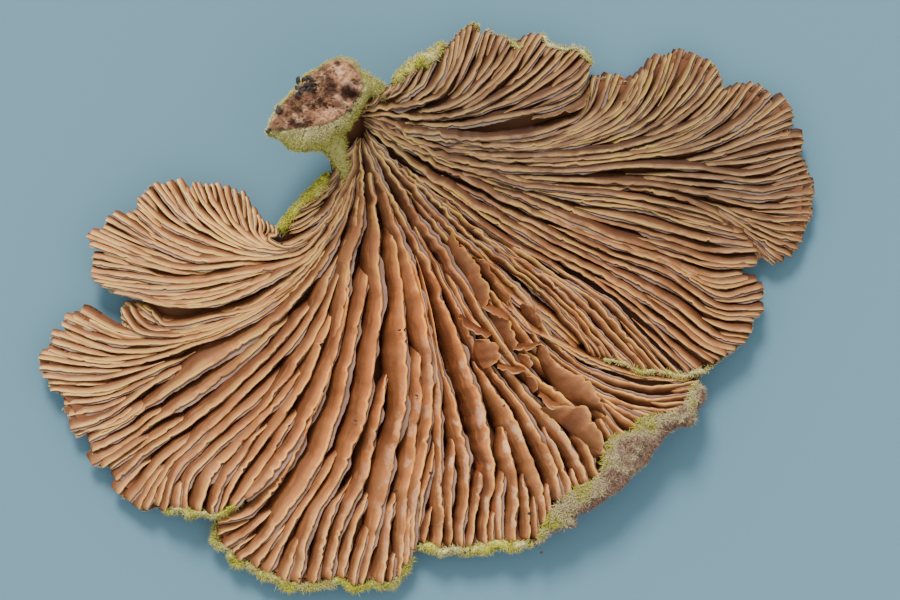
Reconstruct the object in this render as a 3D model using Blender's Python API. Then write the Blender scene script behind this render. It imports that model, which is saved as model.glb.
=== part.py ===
"""Split gill fungus: one fan-shaped fruit body lying on its hairy back, gills up.

Seen from above, +X is to the right, +Y away from the foot of the fan and +Z up from the table.
The cap, its gills, the rolled woolly rim and the torn stub are one grown piece, so they are one
closed body: a relief of gill crests and valleys above, a felted back below, and a wall between.

Places in the plan are read off a picture of the cap, in its pixels (x to the right, y down).
CAP_WIDTH sets the real size, and every height is in millimetres.
"""

import math
import random

import bpy
import numpy as np
from mathutils import Vector
from mathutils.geometry import delaunay_2d_cdt

CAP_WIDTH = 0.042
PIXEL_LEFT = 38.0
PIXEL_RIGHT = 815.0
PIXEL_TOP = 21.0
PIXEL_BOTTOM = 592.0
PIXEL_MM = CAP_WIDTH * 1000.0 / (PIXEL_RIGHT - PIXEL_LEFT)

HUB = (366.0, 127.0)
HUB_RADII = (9.0, 18.0)
HUB_FIRST_DEG = 86.0
HUB_LAST_DEG = -124.0

LINE_STEP = 1.35
LEAST_SPACING = 0.24
VALLEY_PER_SPACING = 0.85
VALLEY_LIMIT = 1.05
VALLEY_RUN_IN = 1.6
MARGIN_INSET = 0.30
EDGE_CLEARANCE = 3.6
CREST_LEAN = 0.22
CREST_WAVE = 0.07
RIM_LUMP = 0.14
PATCH_CENTRE = (440.0, 318.0)
PATCH_RADII = (118.0, 78.0)
PATCH_CORNERS = 18

# Gill paths, clockwise from the top lobe round to the neck. Each starts at the hub.
GUIDES = {
    "top": [
        [(379, 98), (386, 92), (391, 85)],
        [(392, 97), (405, 88), (414, 74), (421, 57)],
        [(398, 102), (418, 91), (430, 74), (441, 46)],
        [(405, 105), (432, 92), (447, 66), (454, 43)],
        [(412, 108), (442, 95), (460, 68), (473, 24)],
        [(418, 111), (455, 98), (478, 67), (491, 30)],
        [(424, 114), (465, 101), (495, 70), (513, 42)],
        [(432, 117), (475, 104), (512, 72), (537, 34)],
        [(440, 119), (490, 104), (534, 75), (560, 46)],
        [(450, 121), (505, 107), (553, 81), (584, 51)],
        [(412, 126), (445, 128), (505, 121), (562, 105), (582, 92), (587, 76)],
    ],
    "upper_right": [
        [(415, 134), (470, 142), (520, 140), (562, 128), (585, 112), (594, 82)],
        [(418, 138), (480, 146), (540, 146), (590, 129), (622, 109), (640, 80)],
        [(420, 141), (485, 151), (545, 151), (600, 140), (645, 116), (666, 85), (677, 50)],
        [(422, 143), (488, 154), (550, 154), (610, 144), (660, 123), (693, 92), (713, 61)],
        [(425, 146), (490, 157), (550, 157), (605, 152), (660, 139), (700, 121), (726, 94)],
        [(427, 148), (495, 161), (560, 163), (625, 156), (685, 143), (728, 117), (754, 84)],
        [(429, 150), (500, 165), (565, 167), (635, 160), (700, 151), (750, 127), (786, 101)],
        [(431, 152), (503, 168), (570, 170), (640, 163), (710, 159), (765, 143), (802, 138)],
        [(433, 154), (507, 171), (575, 173), (640, 169), (700, 171), (752, 176), (803, 159)],
        [(436, 156), (510, 175), (580, 179), (645, 180), (710, 187), (762, 192), (814, 182)],
        [(439, 159), (515, 179), (590, 184), (655, 188), (715, 200), (765, 208), (814, 204)],
        [(442, 161), (520, 182), (595, 187), (655, 191), (710, 204), (755, 225), (803, 238)],
        [(445, 163), (522, 184), (597, 190), (655, 194), (705, 208), (737, 230), (764, 258)],
    ],
    "right": [
        [(447, 165), (525, 187), (600, 195), (655, 203), (700, 214), (723, 224)],
        [(450, 168), (518, 187), (580, 203), (640, 212), (695, 227), (748, 238)],
        [(452, 171), (522, 194), (590, 218), (650, 235), (710, 251), (759, 251)],
        [(453, 174), (527, 204), (600, 232), (662, 254), (710, 270), (744, 270)],
        [(453, 177), (530, 212), (603, 243), (668, 268), (722, 296), (764, 287)],
        [(453, 180), (533, 219), (605, 252), (668, 278), (720, 309), (764, 309)],
        [(452, 183), (536, 227), (607, 262), (665, 287), (715, 319), (753, 323)],
        [(451, 187), (537, 234), (610, 271), (670, 303), (718, 339), (746, 344)],
        [(449, 190), (536, 241), (608, 281), (665, 318), (705, 351), (730, 362)],
        [(446, 193), (530, 246), (598, 286), (650, 328), (685, 360), (702, 376)],
        [(443, 197), (522, 251), (585, 294), (630, 338), (655, 366), (666, 378)],
        [(439, 200), (512, 256), (570, 298), (608, 340), (630, 363), (638, 375)],
        [(435, 203), (500, 256), (548, 297), (575, 328), (588, 348), (591, 358)],
    ],
    "lower_right": [
        [(431, 206), (490, 262), (532, 303), (556, 345), (600, 374), (655, 388), (698, 383)],
        [(427, 208), (480, 264), (518, 308), (550, 350), (600, 382), (655, 396), (704, 392)],
        [(424, 211), (471, 267), (505, 310), (546, 354), (593, 388), (645, 407), (700, 404)],
        [(421, 213), (464, 268), (496, 313), (533, 356), (573, 382), (597, 403), (620, 428), (655, 448)],
        [(418, 215), (456, 268), (484, 315), (515, 358), (560, 392), (590, 418), (604, 450), (622, 485)],
        [(414, 217), (446, 268), (472, 315), (502, 362), (537, 400), (562, 430), (582, 468), (598, 504)],
        [(410, 218), (438, 268), (461, 315), (488, 362), (520, 405), (549, 455), (568, 526)],
        [(408, 218), (432, 268), (453, 313), (476, 362), (503, 398), (524, 440), (540, 485), (546, 540)],
        [(403, 219), (427, 262), (447, 305), (465, 354), (487, 415), (494, 475), (486, 520), (484, 552)],
        [(399, 219), (418, 262), (430, 305), (441, 363), (458, 412), (469, 463), (465, 510), (461, 555)],
        [(396, 219), (411, 258), (424, 303), (436, 360), (439, 400), (441, 450), (442, 500), (440, 556)],
        [(394, 219), (409, 259), (422, 302), (433, 357), (436, 400), (434, 450), (424, 505), (417, 549)],
    ],
    "foot": [
        [(393, 219), (407, 260), (421, 300), (431, 355), (433, 400), (427, 455), (417, 505), (412, 556)],
        [(388, 219), (397, 255), (404, 300), (408, 350), (405, 396), (396, 465), (380, 522), (362, 590)],
        [(379, 219), (379, 250), (382, 300), (378, 345), (368, 405), (346, 468), (316, 520), (300, 588)],
        [(376, 219), (372, 255), (363, 305), (351, 363), (338, 420), (310, 480), (272, 530), (238, 566)],
        [(362, 222), (354, 255), (349, 300), (336, 360), (314, 418), (283, 478), (250, 514), (214, 524)],
    ],
    "lower_left": [
        [(358, 222), (350, 262), (344, 308), (331, 370), (305, 428), (270, 480), (244, 503)],
        [(354, 221), (342, 262), (326, 315), (298, 366), (260, 411), (215, 451), (190, 480), (187, 517)],
        [(352, 220), (338, 260), (318, 310), (288, 352), (247, 396), (205, 435), (168, 472), (148, 512)],
        [(351, 219), (335, 258), (312, 305), (280, 346), (237, 389), (190, 425), (150, 453), (117, 480)],
        [(349, 218), (331, 256), (304, 293), (265, 329), (215, 364), (160, 400), (120, 428), (90, 441)],
        [(348, 217), (329, 253), (304, 285), (272, 314), (215, 343), (150, 373), (100, 392), (50, 393)],
        [(347, 216), (328, 250), (305, 279), (277, 306), (225, 335), (160, 358), (100, 367), (40, 359)],
        [(346, 215), (327, 248), (306, 274), (281, 298), (235, 326), (170, 348), (105, 351), (51, 335)],
        [(345, 215), (326, 246), (306, 271), (283, 291), (245, 316), (190, 336), (125, 334), (80, 312)],
        [(344, 214), (325, 244), (306, 267), (283, 284), (250, 306), (205, 319), (165, 323), (134, 304)],
    ],
    "upper_left": [
        [(343, 213), (325, 242), (306, 263), (281, 277), (245, 295), (210, 306), (170, 307), (142, 300)],
        [(342, 212), (324, 240), (306, 260), (281, 272), (240, 285), (195, 295), (150, 296), (107, 288)],
        [(341, 211), (324, 238), (306, 257), (281, 267), (240, 275), (190, 283), (140, 278), (91, 271)],
        [(340, 210), (323, 236), (305, 254), (282, 262), (245, 266), (190, 270), (140, 258), (87, 238)],
        [(339, 209), (322, 234), (305, 251), (283, 258), (248, 261), (195, 261), (150, 243), (105, 220)],
        [(338, 208), (322, 232), (305, 248), (284, 255), (250, 256), (205, 242), (168, 226), (138, 199)],
        [(337, 207), (321, 230), (304, 245), (285, 252), (258, 251), (224, 237), (195, 212), (177, 180)],
        [(336, 206), (321, 228), (304, 243), (286, 249), (262, 246), (240, 232), (224, 208), (217, 183)],
        [(335, 205), (320, 226), (303, 240), (287, 246), (272, 240), (260, 224), (250, 205), (245, 195)],
    ],
    "neck": [
        [(334, 203), (318, 221), (302, 232), (281, 237)],
        [(332, 198), (315, 213), (298, 224), (279, 229)],
        [(333, 190), (317, 203), (300, 212), (283, 218)],
        [(335, 181), (322, 191), (310, 197), (300, 199)],
        [(340, 170), (333, 176), (325, 180), (318, 179)],
    ],
}

# The free margin of each lobe, in the same order round the cap as its gill paths.
MARGINS = {
    "top": [
        (391, 85), (396, 74), (401, 68), (410, 61), (417, 55), (426, 52), (433, 47), (439, 42),
        (449, 43), (452, 39), (458, 31), (465, 26), (472, 21), (481, 24), (482, 34), (489, 28),
        (495, 33), (504, 35), (515, 41), (519, 47), (525, 39), (529, 34), (542, 33), (547, 37),
        (550, 43), (560, 47), (566, 48), (574, 46), (582, 48), (589, 54), (592, 60), (593, 66),
        (589, 70), (587, 76),
    ],
    "upper_right": [
        (592, 81), (596, 76), (609, 75), (622, 74), (628, 80), (637, 80), (641, 72), (649, 66),
        (654, 58), (662, 54), (670, 56), (675, 50), (681, 48), (690, 52), (700, 55), (706, 60),
        (712, 61), (717, 67), (722, 76), (724, 84), (723, 89), (730, 92), (739, 84), (749, 86),
        (755, 82), (762, 86), (770, 92), (773, 104), (781, 99), (789, 100), (792, 108), (794, 118),
        (793, 125), (788, 133), (795, 134), (803, 137), (804, 145), (801, 152), (799, 157),
        (805, 161), (808, 168), (810, 176), (814, 181), (813, 189), (815, 194), (812, 201),
        (813, 212), (810, 222), (805, 230), (802, 239), (797, 249), (792, 253), (784, 252),
        (783, 260), (775, 264), (767, 262), (762, 258),
    ],
    "right": [
        (723, 224), (728, 227), (731, 233), (742, 235), (750, 241), (754, 249), (759, 255),
        (758, 263), (750, 267), (742, 268), (741, 273), (749, 279), (760, 283), (766, 291),
        (764, 297), (760, 303), (764, 308), (763, 314), (754, 319), (754, 327), (751, 335),
        (746, 343), (739, 348), (728, 357), (715, 366), (705, 373), (692, 377), (680, 380),
        (670, 378), (655, 374), (640, 376), (630, 371), (622, 366), (610, 363), (598, 362),
        (590, 358),
    ],
    "lower_right": [
        (699, 380), (706, 389), (705, 400), (699, 408), (696, 422), (689, 427), (675, 429),
        (665, 438), (656, 448), (649, 464), (637, 471), (629, 480), (621, 490), (605, 500),
        (592, 510), (578, 515), (575, 526), (563, 529), (551, 535), (545, 541), (538, 546),
        (525, 548), (511, 554), (499, 548), (490, 553), (472, 556), (464, 556), (453, 553),
        (443, 557), (432, 554), (421, 550), (417, 549),
    ],
    "foot": [
        (413, 557), (409, 567), (405, 574), (402, 580), (398, 585), (390, 587), (382, 589),
        (372, 587), (362, 590), (352, 592), (345, 588), (340, 582), (333, 585), (325, 588),
        (315, 589), (305, 590), (297, 588), (290, 591), (283, 588), (277, 582), (270, 580),
        (262, 579), (255, 574), (250, 570), (245, 565), (238, 567), (232, 562), (227, 557),
        (228, 551), (222, 550), (216, 549), (213, 543), (212, 537), (212, 530), (213, 524),
    ],
    "lower_left": [
        (244, 503), (238, 508), (230, 513), (222, 518), (215, 519), (208, 517), (200, 516),
        (192, 518), (186, 517), (180, 512), (172, 513), (165, 514), (160, 508), (150, 512),
        (143, 513), (137, 509), (135, 503), (128, 502), (122, 499), (117, 493), (119, 487),
        (116, 480), (118, 472), (112, 469), (100, 468), (92, 466), (88, 458), (93, 452),
        (98, 449), (95, 446), (89, 443), (89, 439), (93, 436), (103, 430), (83, 432), (78, 436),
        (73, 434), (70, 430), (71, 422), (68, 417), (61, 410), (64, 405), (66, 400), (60, 395),
        (50, 392), (48, 386), (49, 381), (43, 377), (40, 370), (38, 360), (40, 355), (45, 352),
        (60, 353), (56, 347), (52, 343), (49, 339), (51, 335), (66, 333), (63, 328), (61, 323),
        (64, 318), (68, 317), (75, 319), (77, 315), (80, 312), (86, 314), (91, 319), (97, 324),
        (105, 328), (113, 332), (122, 330), (121, 320), (120, 312), (121, 306), (125, 303),
        (135, 304),
    ],
    "upper_left": [
        (142, 300), (137, 297), (110, 292), (108, 287), (98, 283), (93, 280), (90, 273), (97, 270),
        (93, 262), (91, 258), (95, 255), (103, 254), (98, 248), (90, 243), (87, 238), (90, 233),
        (100, 231), (104, 228), (105, 222), (113, 216), (125, 218), (127, 214), (133, 212),
        (142, 215), (137, 204), (137, 199), (141, 196), (148, 194), (147, 187), (150, 184),
        (161, 185), (172, 181), (177, 180), (181, 184), (187, 193), (190, 190), (191, 184),
        (196, 181), (200, 184), (212, 184), (217, 183), (221, 186), (230, 188), (240, 191),
        (245, 195), (248, 202), (250, 208), (255, 214), (262, 219), (270, 224), (276, 228),
    ],
    "neck": [
        (281, 236), (278, 228), (281, 220), (287, 213), (293, 207), (300, 199), (306, 191),
        (313, 186), (316, 181), (322, 176), (330, 173),
    ],
}

# The stretch of a margin that ends in the open; the rest lies over a neighbouring lobe.
RIGHT_OPEN = (7, 26)
LEFT_OPEN = (4, 76)

# The torn stub, from the neck back round to the top lobe, and the edge of its torn face.
STUB_OUTLINE = [
    (333, 166), (331, 160), (327, 156), (322, 154), (308, 155), (302, 156), (297, 155), (290, 153),
    (285, 148), (280, 144), (274, 142), (268, 138), (268, 135), (272, 127), (278, 118), (276, 110),
    (284, 104), (290, 100), (299, 90), (303, 84), (308, 77), (319, 74), (327, 66), (335, 61),
    (344, 60), (352, 63), (362, 69), (369, 79), (377, 86), (388, 88),
]
TORN_EDGE = [
    (274, 131), (283, 118), (300, 97), (313, 80), (330, 68), (345, 66), (357, 71), (361, 83),
    (361, 94), (356, 104), (350, 114), (343, 123), (333, 129), (320, 134), (300, 136), (285, 135),
]
TORN_LUMPS = [
    (292, 124, 0.18), (302, 112, -0.22), (312, 122, 0.25), (322, 100, 0.22), (318, 88, -0.15),
    (333, 112, -0.12), (334, 84, 0.28), (349, 96, -0.75), (345, 80, 0.1), (329, 122, 0.15),
    (305, 101, 0.2), (341, 100, 0.25), (353, 88, 0.15),
]
NECK_RIDGE = [(322, 145), (336, 149), (343, 158), (347, 166)]
NECK_GAP = [(367, 101), (359, 113), (352, 127), (347, 140), (350, 150)]

# Hollows, and one ridge, in the wedges where neighbouring lobes part, and their share of the body.
WEDGES = [
    ([(430, 130), (470, 135), (505, 132), (540, 125), (566, 115), (582, 103)], 0.55),
    ([(283, 281), (262, 292), (238, 303), (208, 312), (172, 315)], 0.55),
    ([(484, 251), (509, 275), (533, 299), (551, 322), (561, 338)], 0.55),
    ([(490, 252), (516, 277), (542, 303), (564, 331), (577, 349)], 0.95),
    ([(497, 258), (520, 277), (548, 303), (571, 331)], 0.6),
]

# Inner foot of the rolled rim, and the roll's own crest.
RIM_FOOT = [
    (693, 384), (686, 401), (668, 413), (640, 417), (631, 431), (609, 437), (602, 455), (599, 474),
    (580, 484), (565, 495), (552, 508), (544, 524), (540, 536),
]
RIM_CREST = [
    (698, 392), (692, 412), (672, 421), (650, 432), (638, 450), (621, 468), (606, 487), (586, 500),
    (570, 512), (556, 523), (546, 534),
]

# Heights of the felted back above the table, and of the body's crests above its back.
BACK_HEIGHTS = [
    (440, 318, -0.9), (370, 300, -0.5), (520, 320, -0.5), (450, 385, -0.5), (450, 250, -0.5),
    (366, 165, 0.8), (366, 127, 1.5), (345, 140, 2.0), (315, 110, 3.2), (275, 125, 3.7),
    (340, 65, 3.6), (302, 154, 3.3), (388, 90, 1.9), (400, 70, 1.6), (480, 30, 1.0),
    (560, 50, 0.9), (640, 75, 0.5), (700, 60, 0.7), (790, 110, 0.8), (813, 190, 0.9),
    (790, 250, 0.7), (755, 240, 0.8), (763, 300, 0.9), (715, 365, 1.1), (705, 390, 1.3),
    (660, 445, 1.6), (610, 497, 1.5), (545, 540, 1.1), (470, 555, 0.8), (420, 548, 0.6),
    (400, 585, 0.6), (300, 590, 0.6), (220, 548, 0.7), (180, 515, 0.7), (95, 465, 0.7),
    (40, 370, 0.9), (65, 320, 0.9), (125, 305, 0.7), (92, 275, 0.9), (90, 235, 1.1),
    (140, 198, 1.1), (215, 184, 1.0), (270, 224, 0.9), (282, 220, 1.1), (320, 177, 1.6),
    (600, 200, 0.1), (600, 330, 0.2), (300, 420, 0.0), (220, 300, 0.2), (220, 400, 0.1),
    (500, 470, 0.2), (500, 110, 0.4), (690, 160, 0.3), (690, 280, 0.4),
]
BODY_HEIGHTS = [
    (366, 127, 1.75), (366, 165, 2.0), (385, 205, 2.3), (440, 318, 2.6), (400, 260, 2.5),
    (330, 290, 2.2), (350, 400, 2.4), (300, 480, 1.7), (440, 450, 2.2), (480, 510, 1.6),
    (560, 420, 2.2), (560, 300, 2.3), (480, 230, 2.3), (520, 180, 2.0), (600, 200, 1.8),
    (600, 250, 2.0), (660, 300, 1.6), (700, 200, 1.3), (650, 140, 1.3), (480, 130, 1.6),
    (500, 90, 1.2), (220, 350, 1.6), (200, 280, 1.4), (150, 340, 1.1), (200, 440, 1.4),
    (250, 420, 1.8), (300, 215, 1.3), (340, 140, 1.9), (315, 110, 2.2), (302, 154, 0.8),
    (275, 125, 1.4), (340, 65, 1.2), (388, 90, 1.0), (400, 70, 0.8), (480, 30, 0.6),
    (560, 50, 0.6), (640, 75, 0.7), (700, 60, 0.6), (790, 110, 0.6), (813, 190, 0.6),
    (790, 250, 0.6), (755, 240, 0.7), (763, 300, 0.7), (715, 365, 0.7), (640, 372, 1.0),
    (705, 390, 1.3), (660, 445, 1.3), (610, 497, 1.2), (545, 540, 1.0), (470, 555, 0.8),
    (400, 585, 0.7), (300, 590, 0.7), (220, 548, 0.7), (180, 515, 0.8), (95, 465, 0.6),
    (40, 370, 0.6), (65, 320, 0.6), (125, 305, 0.6), (92, 275, 0.7), (90, 235, 0.7),
    (140, 198, 0.7), (215, 184, 0.7), (270, 224, 0.8), (282, 220, 0.8), (320, 177, 0.9),
]

# Gills between two neighbouring gill paths, and the side to which their edges lean.
GILLS_PER_GAP = {
    "top": 2, "upper_right": 3, "right": 2, "lower_right": 2,
    "foot": 2, "lower_left": 4, "upper_left": 3, "neck": 2,
}
LEANS_ON = {"top", "upper_right", "right"}


def smooth(edge0, edge1, value):
    u = min(1.0, max(0.0, (value - edge0) / (edge1 - edge0)))
    return u * u * (3.0 - 2.0 * u)


def curve(points, count):
    """Points evenly spaced along a smooth curve through the given ones."""
    p = np.array(points, float)
    knots = np.concatenate([[0.0], np.cumsum(np.sqrt(np.linalg.norm(np.diff(p, axis=0), axis=1)))])
    slope = np.diff(p, axis=0) / np.diff(knots)[:, None]
    tangent = np.vstack([slope[:1], slope[:-1], slope[-1:]])
    for i in range(1, len(p) - 1):
        before = knots[i] - knots[i - 1]
        after = knots[i + 1] - knots[i]
        tangent[i] = (slope[i - 1] * after + slope[i] * before) / (before + after)
    at = np.linspace(0.0, knots[-1], count * 4)
    k = np.clip(np.searchsorted(knots, at, side="right") - 1, 0, len(p) - 2)
    h = np.diff(knots)[k][:, None]
    u = ((at - knots[k])[:, None]) / h
    fine = (2 * u**3 - 3 * u**2 + 1) * p[k] + (u**3 - 2 * u**2 + u) * h * tangent[k]
    fine = fine + (3 * u**2 - 2 * u**3) * p[k + 1] + (u**3 - u**2) * h * tangent[k + 1]
    run = np.concatenate([[0.0], np.cumsum(np.linalg.norm(np.diff(fine, axis=0), axis=1))])
    even = np.linspace(0.0, run[-1], count)
    return np.stack([np.interp(even, run, fine[:, 0]), np.interp(even, run, fine[:, 1])], axis=1)


class Plate:
    """A smooth height surface through a few chosen spots, like a bent thin plate."""

    def __init__(self, spots):
        s = np.array(spots, float)
        self.places = s[:, :2] / 100.0
        n = len(s)
        system = np.zeros((n + 3, n + 3))
        system[:n, :n] = self.kernel(self.places)
        system[:n, :n] += np.eye(n) * 0.02
        system[:n, n] = 1.0
        system[:n, n + 1 :] = self.places
        system[n:, :n] = system[:n, n:].T
        self.weights = np.linalg.solve(system, np.concatenate([s[:, 2], np.zeros(3)]))

    def kernel(self, where):
        gap = np.linalg.norm(where[:, None, :] - self.places[None, :, :], axis=2)
        return gap**2 * np.log(np.maximum(gap, 1e-9))

    def __call__(self, x, y):
        where = np.array([[x, y]]) / 100.0
        terms = np.concatenate([self.kernel(where)[0], [1.0], where[0]])
        return float(terms @ self.weights)


BACK = Plate(BACK_HEIGHTS)
BODY = Plate(BODY_HEIGHTS)


def back_height(x, y):
    return max(0.0, BACK(x, y))


class Lobe:
    """One lobe's gill paths: across runs over the paths, along from the hub to the margin."""

    SAMPLES = 41

    def __init__(self, name, first_index, path_total):
        self.name = name
        self.paths = []
        for i, points in enumerate(GUIDES[name]):
            share = (first_index + i) / (path_total - 1)
            angle = math.radians(HUB_FIRST_DEG + (HUB_LAST_DEG - HUB_FIRST_DEG) * share)
            start = (HUB[0] + HUB_RADII[0] * math.cos(angle), HUB[1] - HUB_RADII[1] * math.sin(angle))
            self.paths.append(curve([start, *points], self.SAMPLES))
        self.last = len(self.paths) - 1
        self.margin = np.array(MARGINS[name], float)
        steps = np.linalg.norm(np.diff(self.margin, axis=0), axis=1)
        self.margin_run = np.concatenate([[0.0], np.cumsum(steps)])
        self.margin_at = [self.nearest_on_margin(path[-1]) for path in self.paths]
        self.margin_at[0] = 0.0
        self.margin_at[-1] = self.margin_run[-1]
        for i in range(1, self.last):
            self.margin_at[i] = max(self.margin_at[i], self.margin_at[i - 1] + 2.0)

    def nearest_on_margin(self, point):
        fine = np.linspace(0.0, self.margin_run[-1], 900)
        x = np.interp(fine, self.margin_run, self.margin[:, 0])
        y = np.interp(fine, self.margin_run, self.margin[:, 1])
        return float(fine[np.argmin((x - point[0]) ** 2 + (y - point[1]) ** 2)])

    def flow(self, across, along):
        i = min(int(across), self.last - 1)
        k = min(int(along * (self.SAMPLES - 1)), self.SAMPLES - 2)
        u = across - i
        v = along * (self.SAMPLES - 1) - k
        near = self.paths[i][k] * (1 - v) + self.paths[i][k + 1] * v
        far = self.paths[i + 1][k] * (1 - v) + self.paths[i + 1][k + 1] * v
        return near * (1 - u) + far * u

    def place(self, across, along):
        """A place in the plan, drawn out near its end so that it meets the free margin."""
        here = self.flow(across, along)
        pull = smooth(0.72, 1.0, along)
        if pull == 0.0:
            return here
        run = float(np.interp(across, range(self.last + 1), self.margin_at))
        edge = np.array(
            [
                np.interp(run, self.margin_run, self.margin[:, 0]),
                np.interp(run, self.margin_run, self.margin[:, 1]),
            ]
        )
        return here + (edge - self.flow(across, 1.0)) * pull

    def length(self, across):
        points = [self.place(across, k / 20.0) for k in range(21)]
        return sum(np.linalg.norm(b - a) for a, b in zip(points, points[1:])) * PIXEL_MM

    def gap(self, i, along):
        """Distance between two neighbouring gill paths, in millimetres."""
        return np.linalg.norm(self.paths[i][k_of(along)] - self.paths[i + 1][k_of(along)]) * PIXEL_MM

    def lift(self, across, along):
        """How far the lobe is raised over its neighbours."""
        side = across / self.last
        if self.name == "top":
            return 0.4 * smooth(0.3, 0.7, along) * (0.3 + 0.7 * side)
        if self.name == "upper_right":
            under = smooth(0.4, 0.75, along)
            return -0.2 * under * (smooth(0.15, 0.0, side) + smooth(0.8, 1.0, side))
        if self.name == "right":
            return 0.4 * smooth(0.35, 0.75, along)
        if self.name == "lower_right":
            return -0.15 * smooth(0.5, 0.8, along) * smooth(0.12, 0.0, side)
        if self.name == "lower_left":
            flap = 0.35 * smooth(0.8, 0.92, along) * smooth(2.2, 1.2, across)
            over_foot = 0.25 * smooth(0.4, 0.75, along) * smooth(0.5, 0.0, side)
            under_left = -0.25 * smooth(0.4, 0.7, along) * smooth(0.85, 1.0, side)
            return flap + over_foot + under_left
        if self.name == "upper_left":
            return smooth(0.35, 0.7, along) * (0.45 - 0.3 * side)
        return 0.0

    def crest_height(self, across, along):
        x, y = self.place(across, along)
        return back_height(x, y) + BODY(x, y) + self.lift(across, along)


def k_of(along):
    return int(round(along * (Lobe.SAMPLES - 1)))


def make_lobes():
    total = sum(len(paths) for paths in GUIDES.values())
    lobes = []
    first = 0
    for name, paths in GUIDES.items():
        lobes.append(Lobe(name, first, total))
        first += len(paths)
    return lobes


def inside(polygon, x, y):
    odd = False
    for (x0, y0), (x1, y1) in zip(polygon, polygon[1:] + polygon[:1]):
        if (y0 > y) != (y1 > y) and x < x0 + (y - y0) * (x1 - x0) / (y1 - y0):
            odd = not odd
    return odd


def cap_outline():
    """The whole cap and stub in plan, clockwise as seen from above."""
    right = MARGINS["right"][slice(*RIGHT_OPEN)]
    left = MARGINS["lower_left"][slice(*LEFT_OPEN)]
    parts = [MARGINS["top"], MARGINS["upper_right"], right, MARGINS["lower_right"], MARGINS["foot"]]
    parts += [left, MARGINS["upper_left"], MARGINS["neck"], STUB_OUTLINE]
    return [tuple(map(float, point)) for part in parts for point in part]


class Relief:
    """The points and lines that a skin is stretched over, all kept clear of the outline."""

    def __init__(self, outline, side):
        self.outline = outline
        self.starts = np.array(outline)
        self.ends = np.roll(self.starts, -1, axis=0)
        self.points = list(outline)
        self.heights = [edge_heights(x, y)[side] for x, y in outline]
        count = len(outline)
        self.lines = [(k, (k + 1) % count) for k in range(count)]

    def clear(self, x, y):
        edge = self.ends - self.starts
        away = np.array([x, y]) - self.starts
        share = np.clip((away * edge).sum(axis=1) / (edge * edge).sum(axis=1), 0.0, 1.0)
        gap = np.linalg.norm(away - edge * share[:, None], axis=1).min()
        return gap > EDGE_CLEARANCE and inside(self.outline, x, y)

    def crosses_outline(self, a, b):
        def turn(p, q, r):
            return (q[..., 0] - p[..., 0]) * (r[..., 1] - p[..., 1]) - (
                q[..., 1] - p[..., 1]
            ) * (r[..., 0] - p[..., 0])

        a, b = np.array(self.points[a]), np.array(self.points[b])
        split = turn(a, b, self.starts) * turn(a, b, self.ends) <= 0
        return bool((split & (turn(self.starts, self.ends, a) * turn(self.starts, self.ends, b) <= 0)).any())

    def add(self, x, y, height):
        if not self.clear(x, y):
            return None
        self.points.append((float(x), float(y)))
        self.heights.append(height)
        return len(self.points) - 1

    def line(self, spots, closed=False):
        rows = [self.add(*spot) for spot in spots]
        pairs = list(zip(rows, rows[1:]))
        if closed:
            pairs.append((rows[-1], rows[0]))
        for a, b in pairs:
            if a is not None and b is not None and not self.crosses_outline(a, b):
                self.lines.append((a, b))


RIM_AREA = [(float(x), float(y)) for x, y in RIM_FOOT] + [
    (float(x), float(y)) for x, y in reversed(MARGINS["lower_right"][:21])
]


def gill_line(relief, lobe, across, start, depth, wave):
    """One crest or valley from where it first shows to just short of the margin."""
    length = lobe.length(across)
    end = 1.0 - MARGIN_INSET / length
    count = max(2, int(round((end - start) * length / LINE_STEP)) + 1)
    spots = []
    for k in range(count):
        along = start + (end - start) * k / (count - 1)
        x, y = lobe.place(across, along)
        if inside(RIM_AREA, x, y):
            break
        grown = smooth(0.0, VALLEY_RUN_IN, (along - start) * length)
        drop = depth(along) * grown
        z = lobe.crest_height(across, along) - drop + wave * math.sin(7.3 * across + 11.0 * along)
        spots.append((x, y, z))
    if len(spots) > 1:
        relief.line(spots)


def add_gills(relief, lobe):
    per_gap = GILLS_PER_GAP[lobe.name]
    lean = CREST_LEAN if lobe.name in LEANS_ON else -CREST_LEAN

    def valley_depth(i):
        def depth(along):
            spacing = lobe.gap(i, min(along, 1.0)) / per_gap
            thin = 0.75 * BODY(*lobe.place(i + 0.5, along))
            return min(VALLEY_LIMIT, VALLEY_PER_SPACING * spacing, thin)

        return depth

    for i in range(lobe.last):
        starts = []
        for j in range(per_gap):
            share = 0.8 if j == per_gap // 2 else per_gap
            steps = [k / 40.0 for k in range(2, 37)]
            wide = [s for s in steps if lobe.gap(i, s) / share >= LEAST_SPACING]
            starts.append(wide[0] if wide else 0.9)
        for j in range(per_gap):
            before = max(starts[j - 1], starts[j]) if j else 0.05
            gill_line(relief, lobe, i + j / per_gap, before, lambda along: 0.0, CREST_WAVE)
            valley = i + (j + 0.5 - lean) / per_gap
            gill_line(relief, lobe, valley, starts[j], valley_depth(i), 0.0)
    gill_line(relief, lobe, lobe.last, 0.1, lambda along: 0.0, CREST_WAVE)


def step(relief, margin, inward, above, below):
    """A margin lying over the next lobe: its edge, and the foot of the drop just outside it."""
    for side, rise in ((1.0, above), (-1.0, below)):
        spots = []
        for x, y in margin:
            here = (x + side * inward[0], y + side * inward[1])
            spots.append((*here, back_height(*here) + BODY(*here) + rise))
        relief.line(spots)


def add_steps(relief):
    step(relief, MARGINS["right"][1 : RIGHT_OPEN[0]], (-2.0, 1.5), 0.2, -0.3)
    step(relief, MARGINS["right"][RIGHT_OPEN[1] + 1 :], (0.0, -2.2), 0.25, -0.55)
    step(relief, MARGINS["lower_left"][1 : LEFT_OPEN[0] - 1], (-1.2, -2.0), 0.3, -0.35)


def add_wedges(relief):
    for path, share in WEDGES:
        relief.line([(x, y, back_height(x, y) + BODY(x, y) * share) for x, y in curve(path, 12)])


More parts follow.
